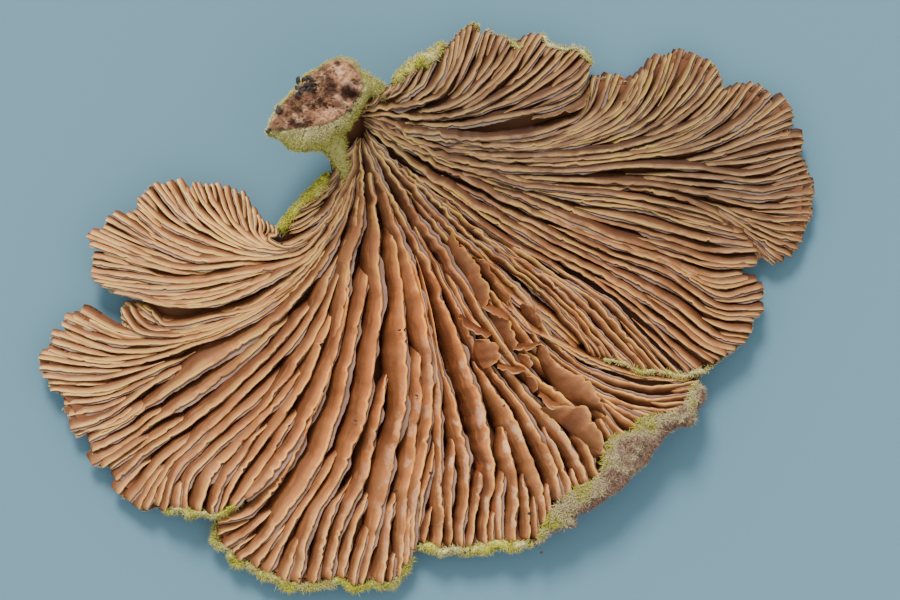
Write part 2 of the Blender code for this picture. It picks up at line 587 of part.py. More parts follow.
def add_rim(relief, rng):
    """The thick woolly edge rolled up along the lower right."""
    foot = []
    for x, y in RIM_FOOT:
        foot.append((x, y, back_height(x, y) + BODY(x, y) - 0.25))
    relief.line(foot)
    crest = []
    for k, (x, y) in enumerate(curve(RIM_CREST, 21)):
        lump = RIM_LUMP * (rng.random() - 0.5) * 2.0
        ends = smooth(0.0, 3.0, k) * smooth(20.0, 15.0, k)
        crest.append((x, y, back_height(x, y) + BODY(x, y) + 0.42 * ends + lump))
    relief.line(crest)


def add_stub(relief):
    """The torn stub with its lumpy face turned up, and the neck that joins it to the hub."""
    face = [(x, y, torn_height(x, y)) for x, y in TORN_EDGE]
    relief.line(face, closed=True)
    for x, y, lump in TORN_LUMPS:
        relief.add(x, y, torn_height(x, y) + lump)
    relief.line([(x, y, 4.6 - 0.045 * (k * 12)) for k, (x, y) in enumerate(NECK_RIDGE)])
    relief.line([(x, y, back_height(x, y) + 1.0) for x, y in NECK_GAP])
    for k in range(9):
        angle = math.radians(HUB_FIRST_DEG + (HUB_LAST_DEG - HUB_FIRST_DEG) * k / 8)
        x = HUB[0] + HUB_RADII[0] * math.cos(angle)
        y = HUB[1] - HUB_RADII[1] * math.sin(angle)
        relief.add(x, y, back_height(x, y) + BODY(x, y) + 0.1 * (k % 2))


def torn_height(x, y):
    """The torn face is nearly level and a little higher on its far side."""
    return 5.65 + 0.004 * (315.0 - x) + 0.003 * (105.0 - y)


def edge_heights(x, y):
    """Lower and upper height of the wall at the outline."""
    low = back_height(x, y) + 0.12
    body = BODY(x, y)
    if x < 372.0 and y < 165.0:
        return low, low + max(0.5, body * 0.55)
    return low, low + max(0.3, body * 0.72 - 0.12)


def stretch(relief, fallback):
    """A skin over the points that keeps the lines as edges and stays inside the outline."""
    flat = [Vector((x, -y)) for x, y in relief.points]
    found = delaunay_2d_cdt(flat, relief.lines, [], 0, 1e-5, True)
    verts, faces, sources = found[0], found[2], found[3]
    skin = []
    ring = {}
    for new, (place, source) in enumerate(zip(verts, sources)):
        x, y = place.x, -place.y
        z = relief.heights[source[0]] if source else fallback(x, y)
        skin.append((x, y, z))
        for old in source:
            if old < len(relief.outline):
                ring[old] = new
    kept = []
    for face in faces:
        x = sum(skin[v][0] for v in face) / 3.0
        y = sum(skin[v][1] for v in face) / 3.0
        if inside(relief.outline, x, y):
            kept.append(face)
    return skin, kept, ring


def upper_skin(outline, lobes, rng):
    relief = Relief(outline, 1)
    for lobe in lobes:
        add_gills(relief, lobe)
    add_steps(relief)
    add_wedges(relief)
    add_rim(relief, rng)
    add_stub(relief)

    def fallback(x, y):
        return back_height(x, y) + BODY(x, y) * 0.8

    return stretch(relief, fallback)


def lower_skin(outline, lobes):
    """The back: flat where it lies on the table, shallow furrows fanning out round that."""
    relief = Relief(outline, 0)
    patch = []
    for k in range(PATCH_CORNERS):
        angle = 2.0 * math.pi * k / PATCH_CORNERS
        x = PATCH_CENTRE[0] + PATCH_RADII[0] * math.cos(angle)
        y = PATCH_CENTRE[1] + PATCH_RADII[1] * math.sin(angle)
        patch.append((x, y, 0.0))
    relief.line(patch, closed=True)
    relief.add(*PATCH_CENTRE, 0.0)
    for lobe in lobes:
        for i in range(0, lobe.last + 1, 2):
            furrow = 0.09 if (i // 2) % 2 else 0.0
            for k in range(5, 20, 2):
                x, y = lobe.place(min(i, lobe.last), k / 20.0)
                far = ((x - PATCH_CENTRE[0]) / PATCH_RADII[0]) ** 2
                far += ((y - PATCH_CENTRE[1]) / PATCH_RADII[1]) ** 2
                near = [p for p in relief.points if math.dist(p, (x, y)) < 13.0]
                if far > 1.15 and not near:
                    relief.add(x, y, back_height(x, y) + 0.02 + furrow)
    for x, y in [(315, 110), (298, 125), (335, 90), (300, 140), (330, 140), (350, 105)]:
        relief.add(x, y, back_height(x, y))
    return stretch(relief, back_height)


def world(spot):
    x, y, z = spot
    across = (x - (PIXEL_LEFT + PIXEL_RIGHT) / 2.0) * PIXEL_MM
    up = ((PIXEL_TOP + PIXEL_BOTTOM) / 2.0 - y) * PIXEL_MM
    return (across / 1000.0, up / 1000.0, z / 1000.0)


def joined(outline, upper, lower):
    """One closed mesh from the two skins and the wall between their outlines."""
    top_points, top_faces, top_ring = upper
    low_points, low_faces, low_ring = lower
    verts = [world(p) for p in top_points] + [world(p) for p in low_points]
    shift = len(top_points)
    faces = [upward(verts, face, True) for face in top_faces]
    faces += [upward(verts, [v + shift for v in face], False) for face in low_faces]
    count = len(outline)
    for k in range(count):
        a, b = top_ring[k], top_ring[(k + 1) % count]
        c, d = low_ring[k] + shift, low_ring[(k + 1) % count] + shift
        faces.append([a, b, d])
        faces.append([a, d, c])
    return verts, faces


def upward(verts, face, up):
    a, b, c = (verts[v] for v in face[:3])
    turn = (b[0] - a[0]) * (c[1] - a[1]) - (b[1] - a[1]) * (c[0] - a[0])
    return list(face) if (turn > 0) == up else list(reversed(face))


def flesh_material():
    material = bpy.data.materials.new("fungus_flesh")
    material.use_nodes = True
    shader = material.node_tree.nodes["Principled BSDF"]
    shader.inputs["Base Color"].default_value = (0.42, 0.20, 0.09, 1.0)
    shader.inputs["Roughness"].default_value = 0.75
    shader.inputs["Metallic"].default_value = 0.0
    return material


def clear_scene():
    for thing in list(bpy.data.objects):
        bpy.data.objects.remove(thing)


def main():
    clear_scene()
    rng = random.Random(7)
    lobes = make_lobes()
    outline = cap_outline()
    verts, faces = joined(outline, upper_skin(outline, lobes, rng), lower_skin(outline, lobes))
    mesh = bpy.data.meshes.new("fruit_body")
    mesh.from_pydata(verts, [], faces)
    mesh.update()
    body = bpy.data.objects.new("fruit_body", mesh)
    bpy.context.scene.collection.objects.link(body)
    mesh.materials.append(flesh_material())
    print("triangles", len(mesh.polygons))


main()
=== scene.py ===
"""Split gill fungus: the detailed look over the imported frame.

The fan-shaped cap lies on its felted back with its gills up. The flesh of each lobe is a thin
closed sheet, every gill is a folded plate with a split free edge standing on it, and the felt,
the woolly rim, the algae tufts and the torn stub are small closed forms in mesh code.

Places in the plan are read off the picture in its pixels (x to the right, y down); the CAD box
gives their real size. Heights are in millimetres above the table.
"""

import math

import bpy
import numpy as np
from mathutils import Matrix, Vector, geometry, noise

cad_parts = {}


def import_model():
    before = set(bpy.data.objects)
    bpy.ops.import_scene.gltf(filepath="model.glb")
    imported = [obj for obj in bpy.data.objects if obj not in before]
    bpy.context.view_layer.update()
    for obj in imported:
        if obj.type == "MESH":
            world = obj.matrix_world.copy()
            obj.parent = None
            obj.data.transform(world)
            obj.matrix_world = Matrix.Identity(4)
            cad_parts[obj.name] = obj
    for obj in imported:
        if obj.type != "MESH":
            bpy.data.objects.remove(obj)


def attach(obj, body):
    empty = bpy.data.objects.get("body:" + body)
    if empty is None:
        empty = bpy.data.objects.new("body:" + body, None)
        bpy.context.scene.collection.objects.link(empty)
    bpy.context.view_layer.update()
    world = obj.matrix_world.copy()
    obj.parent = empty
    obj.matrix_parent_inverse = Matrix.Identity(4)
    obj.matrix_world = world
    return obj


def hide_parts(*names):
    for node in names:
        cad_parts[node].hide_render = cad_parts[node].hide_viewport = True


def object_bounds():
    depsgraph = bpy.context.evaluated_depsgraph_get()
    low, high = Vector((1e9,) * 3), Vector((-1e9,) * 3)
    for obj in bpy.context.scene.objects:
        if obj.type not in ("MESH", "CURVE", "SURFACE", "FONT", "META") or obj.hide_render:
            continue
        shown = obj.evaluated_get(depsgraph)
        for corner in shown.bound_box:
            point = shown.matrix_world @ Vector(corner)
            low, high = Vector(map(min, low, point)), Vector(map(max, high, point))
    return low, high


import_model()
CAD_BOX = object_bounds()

PIXEL_LEFT = 38.0
PIXEL_RIGHT = 815.0
PIXEL_TOP = 21.0
PIXEL_BOTTOM = 592.0
PICTURE_CENTRE = (450.0, 300.0)
PICTURE_WIDTH = 900.0
CAP_WIDTH_MM = (CAD_BOX[1][0] - CAD_BOX[0][0]) * 1000.0
PIXEL_MM = CAP_WIDTH_MM / (PIXEL_RIGHT - PIXEL_LEFT)

HUB = (360.0, 127.0)
HUB_RADII = (4.0, 13.0)
HUB_FIRST_DEG = 86.0
HUB_LAST_DEG = -124.0

# Gill paths, clockwise from the top lobe round to the neck. Each starts at the hub.
GUIDES = {
    "top": [
        [(379, 98), (386, 92), (391, 85)],
        [(392, 97), (405, 88), (414, 74), (421, 57)],
        [(398, 102), (418, 91), (430, 74), (441, 46)],
        [(405, 105), (432, 92), (447, 66), (454, 43)],
        [(412, 108), (442, 95), (460, 68), (473, 24)],
        [(418, 111), (455, 98), (478, 67), (491, 30)],
        [(424, 114), (465, 101), (495, 70), (513, 42)],
        [(432, 117), (475, 104), (512, 72), (537, 34)],
        [(440, 119), (490, 104), (534, 75), (560, 46)],
        [(450, 121), (505, 107), (553, 81), (584, 51)],
        [(412, 126), (445, 128), (505, 121), (562, 105), (582, 92), (587, 76)],
    ],
    "upper_right": [
        [(415, 134), (470, 142), (520, 140), (562, 128), (585, 112), (594, 82)],
        [(418, 138), (480, 146), (540, 146), (590, 129), (622, 109), (640, 80)],
        [(420, 141), (485, 151), (545, 151), (600, 140), (645, 116), (666, 85), (677, 50)],
        [(422, 143), (488, 154), (550, 154), (610, 144), (660, 123), (693, 92), (713, 61)],
        [(425, 146), (490, 157), (550, 157), (605, 152), (660, 139), (700, 121), (726, 94)],
        [(427, 148), (495, 161), (560, 163), (625, 156), (685, 143), (728, 117), (754, 84)],
        [(429, 150), (500, 165), (565, 167), (635, 160), (700, 151), (750, 127), (786, 101)],
        [(431, 152), (503, 168), (570, 170), (640, 163), (710, 159), (765, 143), (802, 138)],
        [(433, 154), (507, 171), (575, 173), (640, 169), (700, 171), (752, 176), (803, 159)],
        [(436, 156), (510, 175), (580, 179), (645, 180), (710, 187), (762, 192), (814, 182)],
        [(439, 159), (515, 179), (590, 184), (655, 188), (715, 200), (765, 208), (814, 204)],
        [(442, 161), (520, 182), (595, 187), (655, 191), (710, 204), (755, 225), (803, 238)],
        [(445, 163), (522, 184), (597, 190), (655, 194), (705, 208), (737, 230), (764, 258)],
    ],
    "right": [
        [(447, 165), (525, 187), (600, 195), (655, 203), (700, 214), (723, 224)],
        [(450, 168), (518, 187), (580, 203), (640, 212), (695, 227), (748, 238)],
        [(452, 171), (522, 194), (590, 218), (650, 235), (710, 251), (759, 251)],
        [(453, 174), (527, 204), (600, 232), (662, 254), (710, 270), (744, 270)],
        [(453, 177), (530, 212), (603, 243), (668, 268), (722, 296), (764, 287)],
        [(453, 180), (533, 219), (605, 252), (668, 278), (720, 309), (764, 309)],
        [(452, 183), (536, 227), (607, 262), (665, 287), (715, 319), (753, 323)],
        [(451, 187), (537, 234), (610, 271), (670, 303), (718, 339), (746, 344)],
        [(449, 190), (536, 241), (608, 281), (665, 318), (705, 351), (730, 362)],
        [(446, 193), (530, 246), (598, 286), (650, 328), (685, 360), (702, 376)],
        [(443, 197), (522, 251), (585, 294), (630, 338), (655, 366), (666, 378)],
        [(439, 200), (512, 256), (570, 298), (608, 340), (630, 363), (638, 375)],
        [(435, 203), (500, 256), (548, 297), (575, 328), (588, 348), (591, 358)],
    ],
    "lower_right": [
        [(431, 206), (490, 262), (532, 303), (556, 345), (600, 374), (655, 388), (698, 383)],
        [(427, 208), (480, 264), (518, 308), (550, 350), (600, 382), (655, 396), (704, 392)],
        [(424, 211), (471, 267), (505, 310), (546, 354), (593, 388), (645, 407), (700, 404)],
        [(421, 213), (464, 268), (496, 313), (533, 356), (573, 382), (597, 403), (620, 428), (655, 448)],
        [(418, 215), (456, 268), (484, 315), (515, 358), (560, 392), (590, 418), (604, 450), (622, 485)],
        [(414, 217), (446, 268), (472, 315), (502, 362), (537, 400), (562, 430), (582, 468), (598, 504)],
        [(410, 218), (438, 268), (461, 315), (488, 362), (520, 405), (549, 455), (568, 526)],
        [(408, 218), (432, 268), (453, 313), (476, 362), (503, 398), (524, 440), (540, 485), (546, 540)],
        [(403, 219), (427, 262), (447, 305), (465, 354), (487, 415), (494, 475), (486, 520), (484, 552)],
        [(399, 219), (418, 262), (430, 305), (441, 363), (458, 412), (469, 463), (465, 510), (461, 555)],
        [(396, 219), (411, 258), (424, 303), (436, 360), (439, 400), (441, 450), (442, 500), (440, 556)],
        [(394, 219), (409, 259), (422, 302), (433, 357), (436, 400), (434, 450), (424, 505), (417, 549)],
    ],
    "foot": [
        [(393, 219), (407, 260), (421, 300), (431, 355), (433, 400), (427, 455), (417, 505), (412, 556)],
        [(388, 219), (397, 255), (404, 300), (408, 350), (405, 396), (396, 465), (380, 522), (362, 590)],
        [(379, 219), (379, 250), (382, 300), (378, 345), (368, 405), (346, 468), (316, 520), (300, 588)],
        [(376, 219), (372, 255), (363, 305), (351, 363), (338, 420), (310, 480), (272, 530), (238, 566)],
        [(362, 222), (354, 255), (349, 300), (336, 360), (314, 418), (283, 478), (250, 514), (214, 524)],
    ],
    "lower_left": [
        [(358, 222), (350, 262), (344, 308), (331, 370), (305, 428), (270, 480), (244, 503)],
        [(354, 221), (342, 262), (326, 315), (298, 366), (260, 411), (215, 451), (190, 480), (187, 517)],
        [(352, 220), (338, 260), (318, 310), (288, 352), (247, 396), (205, 435), (168, 472), (148, 512)],
        [(351, 219), (335, 258), (312, 305), (280, 346), (237, 389), (190, 425), (150, 453), (117, 480)],
        [(349, 218), (331, 256), (304, 293), (265, 329), (215, 364), (160, 400), (120, 428), (90, 441)],
        [(348, 217), (329, 253), (304, 285), (272, 314), (215, 343), (150, 373), (100, 392), (50, 393)],
        [(347, 216), (328, 250), (305, 279), (277, 306), (225, 335), (160, 358), (100, 367), (40, 359)],
        [(346, 215), (327, 248), (306, 274), (281, 298), (235, 326), (170, 348), (105, 351), (51, 335)],
        [(345, 215), (326, 246), (306, 271), (283, 291), (245, 316), (190, 336), (125, 334), (80, 312)],
        [(344, 214), (325, 244), (306, 267), (283, 284), (250, 306), (205, 319), (165, 323), (134, 304)],
    ],
    "upper_left": [
        [(343, 213), (325, 242), (306, 263), (281, 277), (245, 295), (210, 306), (170, 307), (142, 300)],
        [(342, 212), (324, 240), (306, 260), (281, 272), (240, 285), (195, 295), (150, 296), (107, 288)],
        [(341, 211), (324, 238), (306, 257), (281, 267), (240, 275), (190, 283), (140, 278), (91, 271)],
        [(340, 210), (323, 236), (305, 254), (282, 262), (245, 266), (190, 270), (140, 258), (87, 238)],
        [(339, 209), (322, 234), (305, 251), (283, 258), (248, 261), (195, 261), (150, 243), (105, 220)],
        [(338, 208), (322, 232), (305, 248), (284, 255), (250, 256), (205, 242), (168, 226), (138, 199)],
        [(337, 207), (321, 230), (304, 245), (285, 252), (258, 251), (224, 237), (195, 212), (177, 180)],
        [(336, 206), (321, 228), (304, 243), (286, 249), (262, 246), (240, 232), (224, 208), (217, 183)],
        [(335, 205), (320, 226), (303, 240), (287, 246), (272, 240), (260, 224), (250, 205), (245, 195)],
    ],
    "neck": [
        [(334, 203), (318, 221), (302, 232), (281, 237)],
        [(332, 198), (315, 213), (298, 224), (279, 229)],
        [(333, 190), (317, 203), (300, 212), (283, 218)],
        [(335, 181), (322, 191), (310, 197), (300, 199)],
        [(340, 170), (333, 176), (325, 180), (318, 179)],
    ],
}

# The free margin of each lobe, in the same order round the cap as its gill paths.
MARGINS = {
    "top": [
        (391, 85), (396, 74), (401, 68), (410, 61), (417, 55), (426, 52), (433, 47), (439, 42),
        (449, 43), (452, 39), (458, 31), (465, 26), (472, 21), (481, 24), (482, 34), (489, 28),
        (495, 33), (504, 35), (515, 41), (519, 47), (525, 39), (529, 34), (542, 33), (547, 37),
        (550, 43), (560, 47), (566, 48), (574, 46), (582, 48), (589, 54), (592, 60), (593, 66),
        (589, 70), (587, 76),
    ],
    "upper_right": [
        (592, 81), (596, 76), (609, 75), (622, 74), (628, 80), (637, 80), (641, 72), (649, 66),
        (654, 58), (662, 54), (670, 56), (675, 50), (681, 48), (690, 52), (700, 55), (706, 60),
        (712, 61), (717, 67), (722, 76), (724, 84), (723, 89), (730, 92), (739, 84), (749, 86),
        (755, 82), (762, 86), (770, 92), (773, 104), (781, 99), (789, 100), (792, 108), (794, 118),
        (793, 125), (788, 133), (795, 134), (803, 137), (804, 145), (801, 152), (799, 157),
        (805, 161), (808, 168), (810, 176), (814, 181), (813, 189), (815, 194), (812, 201),
        (813, 212), (810, 222), (805, 230), (802, 239), (797, 249), (792, 253), (784, 252),
        (783, 260), (775, 264), (767, 262), (762, 258),
    ],
    "right": [
        (723, 224), (728, 227), (731, 233), (742, 235), (750, 241), (754, 249), (759, 255),
        (758, 263), (750, 267), (742, 268), (741, 273), (749, 279), (760, 283), (766, 291),
        (764, 297), (760, 303), (764, 308), (763, 314), (754, 319), (754, 327), (751, 335),
        (746, 343), (739, 348), (728, 357), (715, 366), (705, 373), (692, 377), (680, 380),
        (670, 378), (655, 374), (640, 376), (630, 371), (622, 366), (610, 363), (598, 362),
        (590, 358),
    ],
    "lower_right": [
        (699, 380), (706, 389), (705, 400), (699, 408), (696, 422), (689, 427), (675, 429),
        (665, 438), (656, 448), (649, 464), (637, 471), (629, 480), (621, 490), (605, 500),
        (592, 510), (578, 515), (575, 526), (563, 529), (551, 535), (545, 541), (538, 546),
        (525, 548), (511, 554), (499, 548), (490, 553), (472, 556), (464, 556), (453, 553),
        (443, 557), (432, 554), (421, 550), (417, 549),
    ],
    "foot": [
        (413, 557), (409, 567), (405, 574), (402, 580), (398, 585), (390, 587), (382, 589),
        (372, 587), (362, 590), (352, 592), (345, 588), (340, 582), (333, 585), (325, 588),
        (315, 589), (305, 590), (297, 588), (290, 591), (283, 588), (277, 582), (270, 580),
        (262, 579), (255, 574), (250, 570), (245, 565), (238, 567), (232, 562), (227, 557),
        (228, 551), (222, 550), (216, 549), (213, 543), (212, 537), (212, 530), (213, 524),
    ],
    "lower_left": [
        (244, 503), (238, 508), (230, 513), (222, 518), (215, 519), (208, 517), (200, 516),
        (192, 518), (186, 517), (180, 512), (172, 513), (165, 514), (160, 508), (150, 512),
        (143, 513), (137, 509), (135, 503), (128, 502), (122, 499), (117, 493), (119, 487),
        (116, 480), (118, 472), (112, 469), (100, 468), (92, 466), (88, 458), (93, 452),
        (98, 449), (95, 446), (89, 443), (89, 439), (93, 436), (103, 430), (83, 432), (78, 436),
        (73, 434), (70, 430), (71, 422), (68, 417), (61, 410), (64, 405), (66, 400), (60, 395),
        (50, 392), (48, 386), (49, 381), (43, 377), (40, 370), (38, 360), (40, 355), (45, 352),
        (60, 353), (56, 347), (52, 343), (49, 339), (51, 335), (66, 333), (63, 328), (61, 323),
        (64, 318), (68, 317), (75, 319), (77, 315), (80, 312), (86, 314), (91, 319), (97, 324),
        (105, 328), (113, 332), (122, 330), (121, 320), (120, 312), (121, 306), (125, 303),
        (135, 304),
    ],
    "upper_left": [
        (142, 300), (137, 297), (110, 292), (108, 287), (98, 283), (93, 280), (90, 273), (97, 270),
        (93, 262), (91, 258), (95, 255), (103, 254), (98, 248), (90, 243), (87, 238), (90, 233),
        (100, 231), (104, 228), (105, 222), (113, 216), (125, 218), (127, 214), (133, 212),
        (142, 215), (137, 204), (137, 199), (141, 196), (148, 194), (147, 187), (150, 184),
        (161, 185), (172, 181), (177, 180), (181, 184), (187, 193), (190, 190), (191, 184),
        (196, 181), (200, 184), (212, 184), (217, 183), (221, 186), (230, 188), (240, 191),
        (245, 195), (248, 202), (250, 208), (255, 214), (262, 219), (270, 224), (276, 228),
    ],
    "neck": [
        (281, 236), (278, 228), (281, 220), (287, 213), (293, 207), (300, 199), (306, 191),
        (313, 186), (316, 181), (322, 176), (330, 173),
    ],
}

# The torn stub, from the neck back round to the top lobe, and the edge of its torn face.
STUB_OUTLINE = [
    (333, 166), (331, 160), (327, 156), (322, 154), (308, 155), (302, 156), (297, 155), (290, 153),
    (285, 148), (280, 144), (274, 142), (268, 138), (268, 135), (272, 127), (278, 118), (276, 110),
    (284, 104), (290, 100), (299, 90), (303, 84), (308, 77), (319, 74), (327, 66), (335, 61),
    (344, 60), (352, 63), (362, 69), (369, 79), (377, 86), (388, 88),
]
TORN_EDGE = [
    (270, 134), (277, 119), (285, 107), (292, 100), (301, 90), (309, 79), (320, 73), (330, 66),
    (340, 62), (348, 63), (356, 66), (362, 74), (365, 84), (365, 94), (361, 102), (355, 110),
    (348, 117), (338, 123), (325, 128), (310, 131), (294, 133), (280, 134),
]

# Lumps and hollows of the torn face: place and height in millimetres.
TORN_LUMPS = [
    (292, 124, 0.18), (302, 112, -0.22), (312, 122, 0.25), (322, 100, 0.22), (318, 88, -0.15),
    (333, 112, -0.12), (334, 84, 0.28), (345, 80, 0.1), (329, 122, 0.15), (305, 101, 0.2),
    (341, 100, 0.25), (353, 88, 0.15),
]

# Inner foot of the rolled rim.
RIM_FOOT = [
    (693, 384), (686, 401), (668, 413), (640, 417), (631, 431), (609, 437), (602, 455), (599, 474),
    (580, 484), (565, 495), (552, 508), (544, 524), (540, 536),
]

# Heights of the felted back above the table, and of the body's crests above its back.
BACK_HEIGHTS = [
    (440, 318, -0.9), (370, 300, -0.5), (520, 320, -0.5), (450, 385, -0.5), (450, 250, -0.5),
    (366, 165, 0.8), (366, 127, 1.5), (345, 140, 2.0), (315, 110, 3.2), (275, 125, 3.7),
    (340, 65, 3.6), (302, 154, 3.3), (388, 90, 1.9), (400, 70, 1.6), (480, 30, 1.0),
    (560, 50, 0.9), (640, 75, 0.5), (700, 60, 0.7), (790, 110, 0.8), (813, 190, 0.9),
    (790, 250, 0.7), (755, 240, 0.8), (763, 300, 0.9), (715, 365, 1.1), (705, 390, 1.3),
    (660, 445, 1.6), (610, 497, 1.5), (545, 540, 1.1), (470, 555, 0.8), (420, 548, 0.6),
    (400, 585, 0.6), (300, 590, 0.6), (220, 548, 0.7), (180, 515, 0.7), (95, 465, 0.7),
    (40, 370, 0.9), (65, 320, 0.9), (125, 305, 0.7), (92, 275, 0.9), (90, 235, 1.1),
    (140, 198, 1.1), (215, 184, 1.0), (270, 224, 0.9), (282, 220, 1.1), (320, 177, 1.6),
    (600, 200, 0.1), (600, 330, 0.2), (300, 420, 0.0), (220, 300, 0.2), (220, 400, 0.1),
    (500, 470, 0.2), (500, 110, 0.4), (690, 160, 0.3), (690, 280, 0.4),
]
BODY_HEIGHTS = [
    (366, 127, 1.75), (366, 165, 2.0), (385, 205, 2.3), (440, 318, 2.6), (400, 260, 2.5),
    (330, 290, 2.2), (350, 400, 2.4), (300, 480, 1.7), (440, 450, 2.2), (480, 510, 1.6),
    (560, 420, 2.2), (560, 300, 2.3), (480, 230, 2.3), (520, 180, 2.0), (600, 200, 1.8),
    (600, 250, 2.0), (660, 300, 1.6), (700, 200, 1.3), (650, 140, 1.3), (480, 130, 1.6),
    (500, 90, 1.2), (220, 350, 1.6), (200, 280, 1.4), (150, 340, 1.1), (200, 440, 1.4),
    (250, 420, 1.8), (300, 215, 1.3), (340, 140, 1.9), (315, 110, 2.2), (302, 154, 0.8),
    (275, 125, 1.4), (340, 65, 1.2), (388, 90, 1.0), (400, 70, 0.8), (480, 30, 0.6),
    (560, 50, 0.6), (640, 75, 0.7), (700, 60, 0.6), (790, 110, 0.6), (813, 190, 0.6),
    (790, 250, 0.6), (755, 240, 0.7), (763, 300, 0.7), (715, 365, 0.7), (640, 372, 1.0),
    (705, 390, 1.3), (660, 445, 1.3), (610, 497, 1.2), (545, 540, 1.0), (470, 555, 0.8),
    (400, 585, 0.7), (300, 590, 0.7), (220, 548, 0.7), (180, 515, 0.8), (95, 465, 0.6),
    (40, 370, 0.6), (65, 320, 0.6), (125, 305, 0.6), (92, 275, 0.7), (90, 235, 0.7),
    (140, 198, 0.7), (215, 184, 0.7), (270, 224, 0.8), (282, 220, 0.8), (320, 177, 0.9),
]

# Share of the body's height taken by the gills.
GILL_SHARE = 0.74

# In millimetres: depth of the felt on the back, space between the rings of points along a gill,
# and the run over which a new gill grows to its full size.
FELT_MM = 0.22
RING_STEP = 0.15
GROW_MM = 2.4

# Fewest rings and shortest run that make a gill, and the shares at which its spaces are measured.
FEWEST_RINGS = 8
SHORTEST_GILL_MM = 0.6
GAP_STEPS = np.linspace(0.0, 1.0, 61)

# Radius of the hairs, in metres.
HAIR_RADIUS = 0.000022
STUB_HAIR_RADIUS = 0.000023
BACK_HAIR_RADIUS = 0.000034

# Hairs on the rolled rim, on the stub, and under each lobe where none other is given.
RIM_HAIRS = 8900
STUB_HAIRS = 7600
BACK_HAIRS = 1900
BACK_HAIRS_OF = {"neck": 400, "top": 1200}

# Rows of points along a lobe's flesh and columns from one gill path to the next.
FLESH_ROWS = 32
FLESH_COLUMNS = 4
THIN_FLESH_MM = 0.12

# Space between the underlay's points, how far it is drawn in and its clear border, in pixels.
UNDERLAY_STEP = 7.0
UNDERLAY_INSET = 2.2
UNDERLAY_BORDER = 5.0

# Rows of a broken flap and the space between its columns in millimetres.
FLAP_ROWS = 8
FLAP_STEP = 0.12

# Points round the stub, rings over its torn face, and rings over and under its flank.
STUB_TURNS = 210
TORN_RINGS = 46
FLANK_RINGS = 8

# Rings along a fleshy strand and points round it.
STRAND_RINGS = 26
STRAND_TURNS = 28

# Widest space left between two gills before another one starts, in pixels, along each lobe's paths.
SPACING = {
    "top": ([0, 10], [11.5, 12.5]),
    "upper_right": ([0, 6, 12], [12.5, 12.5, 12.0]),
    "right": ([0, 8, 12], [13.5, 15.0, 15.0]),
    "lower_right": ([0, 2, 4, 11], [15.0, 20.0, 29.0, 28.0]),
    "foot": ([0, 4], [33.0, 27.0]),
    "lower_left": ([0, 3, 6, 9], [24.0, 19.0, 13.0, 11.5]),
    "upper_left": ([0, 8], [11.5, 11.5]),
    "neck": ([0, 4], [9.5, 9.5]),
}

# Share of that space left at the margin itself, where the last short gills stand.
CROWDED = {
    "top": 0.88, "upper_right": 0.88, "right": 0.85, "lower_right": 0.65, "foot": 0.65,
    "lower_left": 0.8, "upper_left": 0.85, "neck": 0.85,
}

# Share of the space to the next gill that each gill's face fills.
COVER = {
    "top": 0.84, "upper_right": 0.90, "right": 0.94, "lower_right": 1.0, "foot": 1.0,
    "lower_left": 0.98, "upper_left": 0.92, "neck": 0.82,
}

# How far each lobe's gills are narrow ribs over sunken faces (1) or broad faces (0).
RIB = {
    "top": ([0, 10], [0.9, 0.8]),
    "upper_right": ([0, 12], [0.75, 0.6]),
    "right": ([0, 4, 12], [0.5, 0.3, 0.35]),
    "lower_right": ([0, 3, 11], [0.5, 0.1, 0.0]),
    "foot": ([0, 4], [0.0, 0.0]),
    "lower_left": ([0, 3, 6, 9], [0.0, 0.15, 0.6, 0.9]),
    "upper_left": ([0, 8], [0.85, 0.9]),
    "neck": ([0, 4], [0.9, 0.9]),
}

# How far the gills stop short of a felted margin, in pixels.
SHORT = {
    "top": ([0, 3, 5, 10], [9.0, 8.0, 2.5, 3.0]),
    "upper_right": ([0, 12], [0.0, 0.0]),
    "right": ([0, 7, 9, 12], [0.0, 1.0, 4.0, 4.0]),
    "lower_right": ([0, 5, 7, 11], [0.0, 0.0, 7.0, 7.0]),
    "foot": ([0, 4], [5.0, 5.0]),
    "lower_left": ([0, 1, 3], [4.0, 3.0, 0.0]),
    "upper_left": ([0, 1], [1.0, 0.0]),
    "neck": ([0, 4], [8.5, 8.5]),
}

# Sideways lean of the gills as a share of their height, positive on round the cap.
LEAN = {
    "top": ([0, 2, 10], [0.0, 0.35, 0.5]),
    "upper_right": ([0, 6, 12], [0.5, 0.45, 0.5]),
    "right": ([0, 1.5, 8, 10, 12], [0.05, 0.5, 0.5, -0.25, -0.05]),
    "lower_right": ([0, 3, 5, 11], [-0.2, -0.5, -0.7, -0.75]),
    "foot": ([0, 4], [-0.75, -0.75]),
    "lower_left": ([0, 3, 6, 9], [-0.75, -0.7, -0.45, -0.35]),
    "upper_left": ([0, 4, 7, 8], [-0.4, -0.35, -0.2, 0.0]),
    "neck": ([0, 3, 4], [-0.35, -0.2, 0.0]),
}

# How orange, how bleached, how green, how frilled and how bloomed the
# gills are at a few spots of the plan.
WARM_SPOTS = [
    (366, 160, 0.1), (400, 300, 1.0), (340, 400, 1.0), (300, 500, 1.0), (430, 450, 0.95),
    (520, 420, 0.9), (560, 400, 0.9), (480, 250, 0.6), (520, 190, 0.15), (600, 230, 0.35),
    (700, 280, 0.4), (700, 200, 0.08), (790, 180, 0.1), (640, 110, 0.1), (720, 90, 0.1),
    (480, 80, 0.1), (560, 80, 0.15), (440, 110, 0.0), (230, 400, 0.85), (120, 370, 0.5),
    (120, 460, 0.6), (160, 250, 0.5), (230, 210, 0.5), (310, 210, 0.1), (650, 340, 0.6),
    (250, 320, 0.6), (330, 570, 0.8), (440, 540, 0.8), (390, 150, 0.0), (340, 190, 0.1),
    (385, 200, 0.4), (420, 190, 0.3), (600, 310, 0.7), (60, 360, 0.3),
]
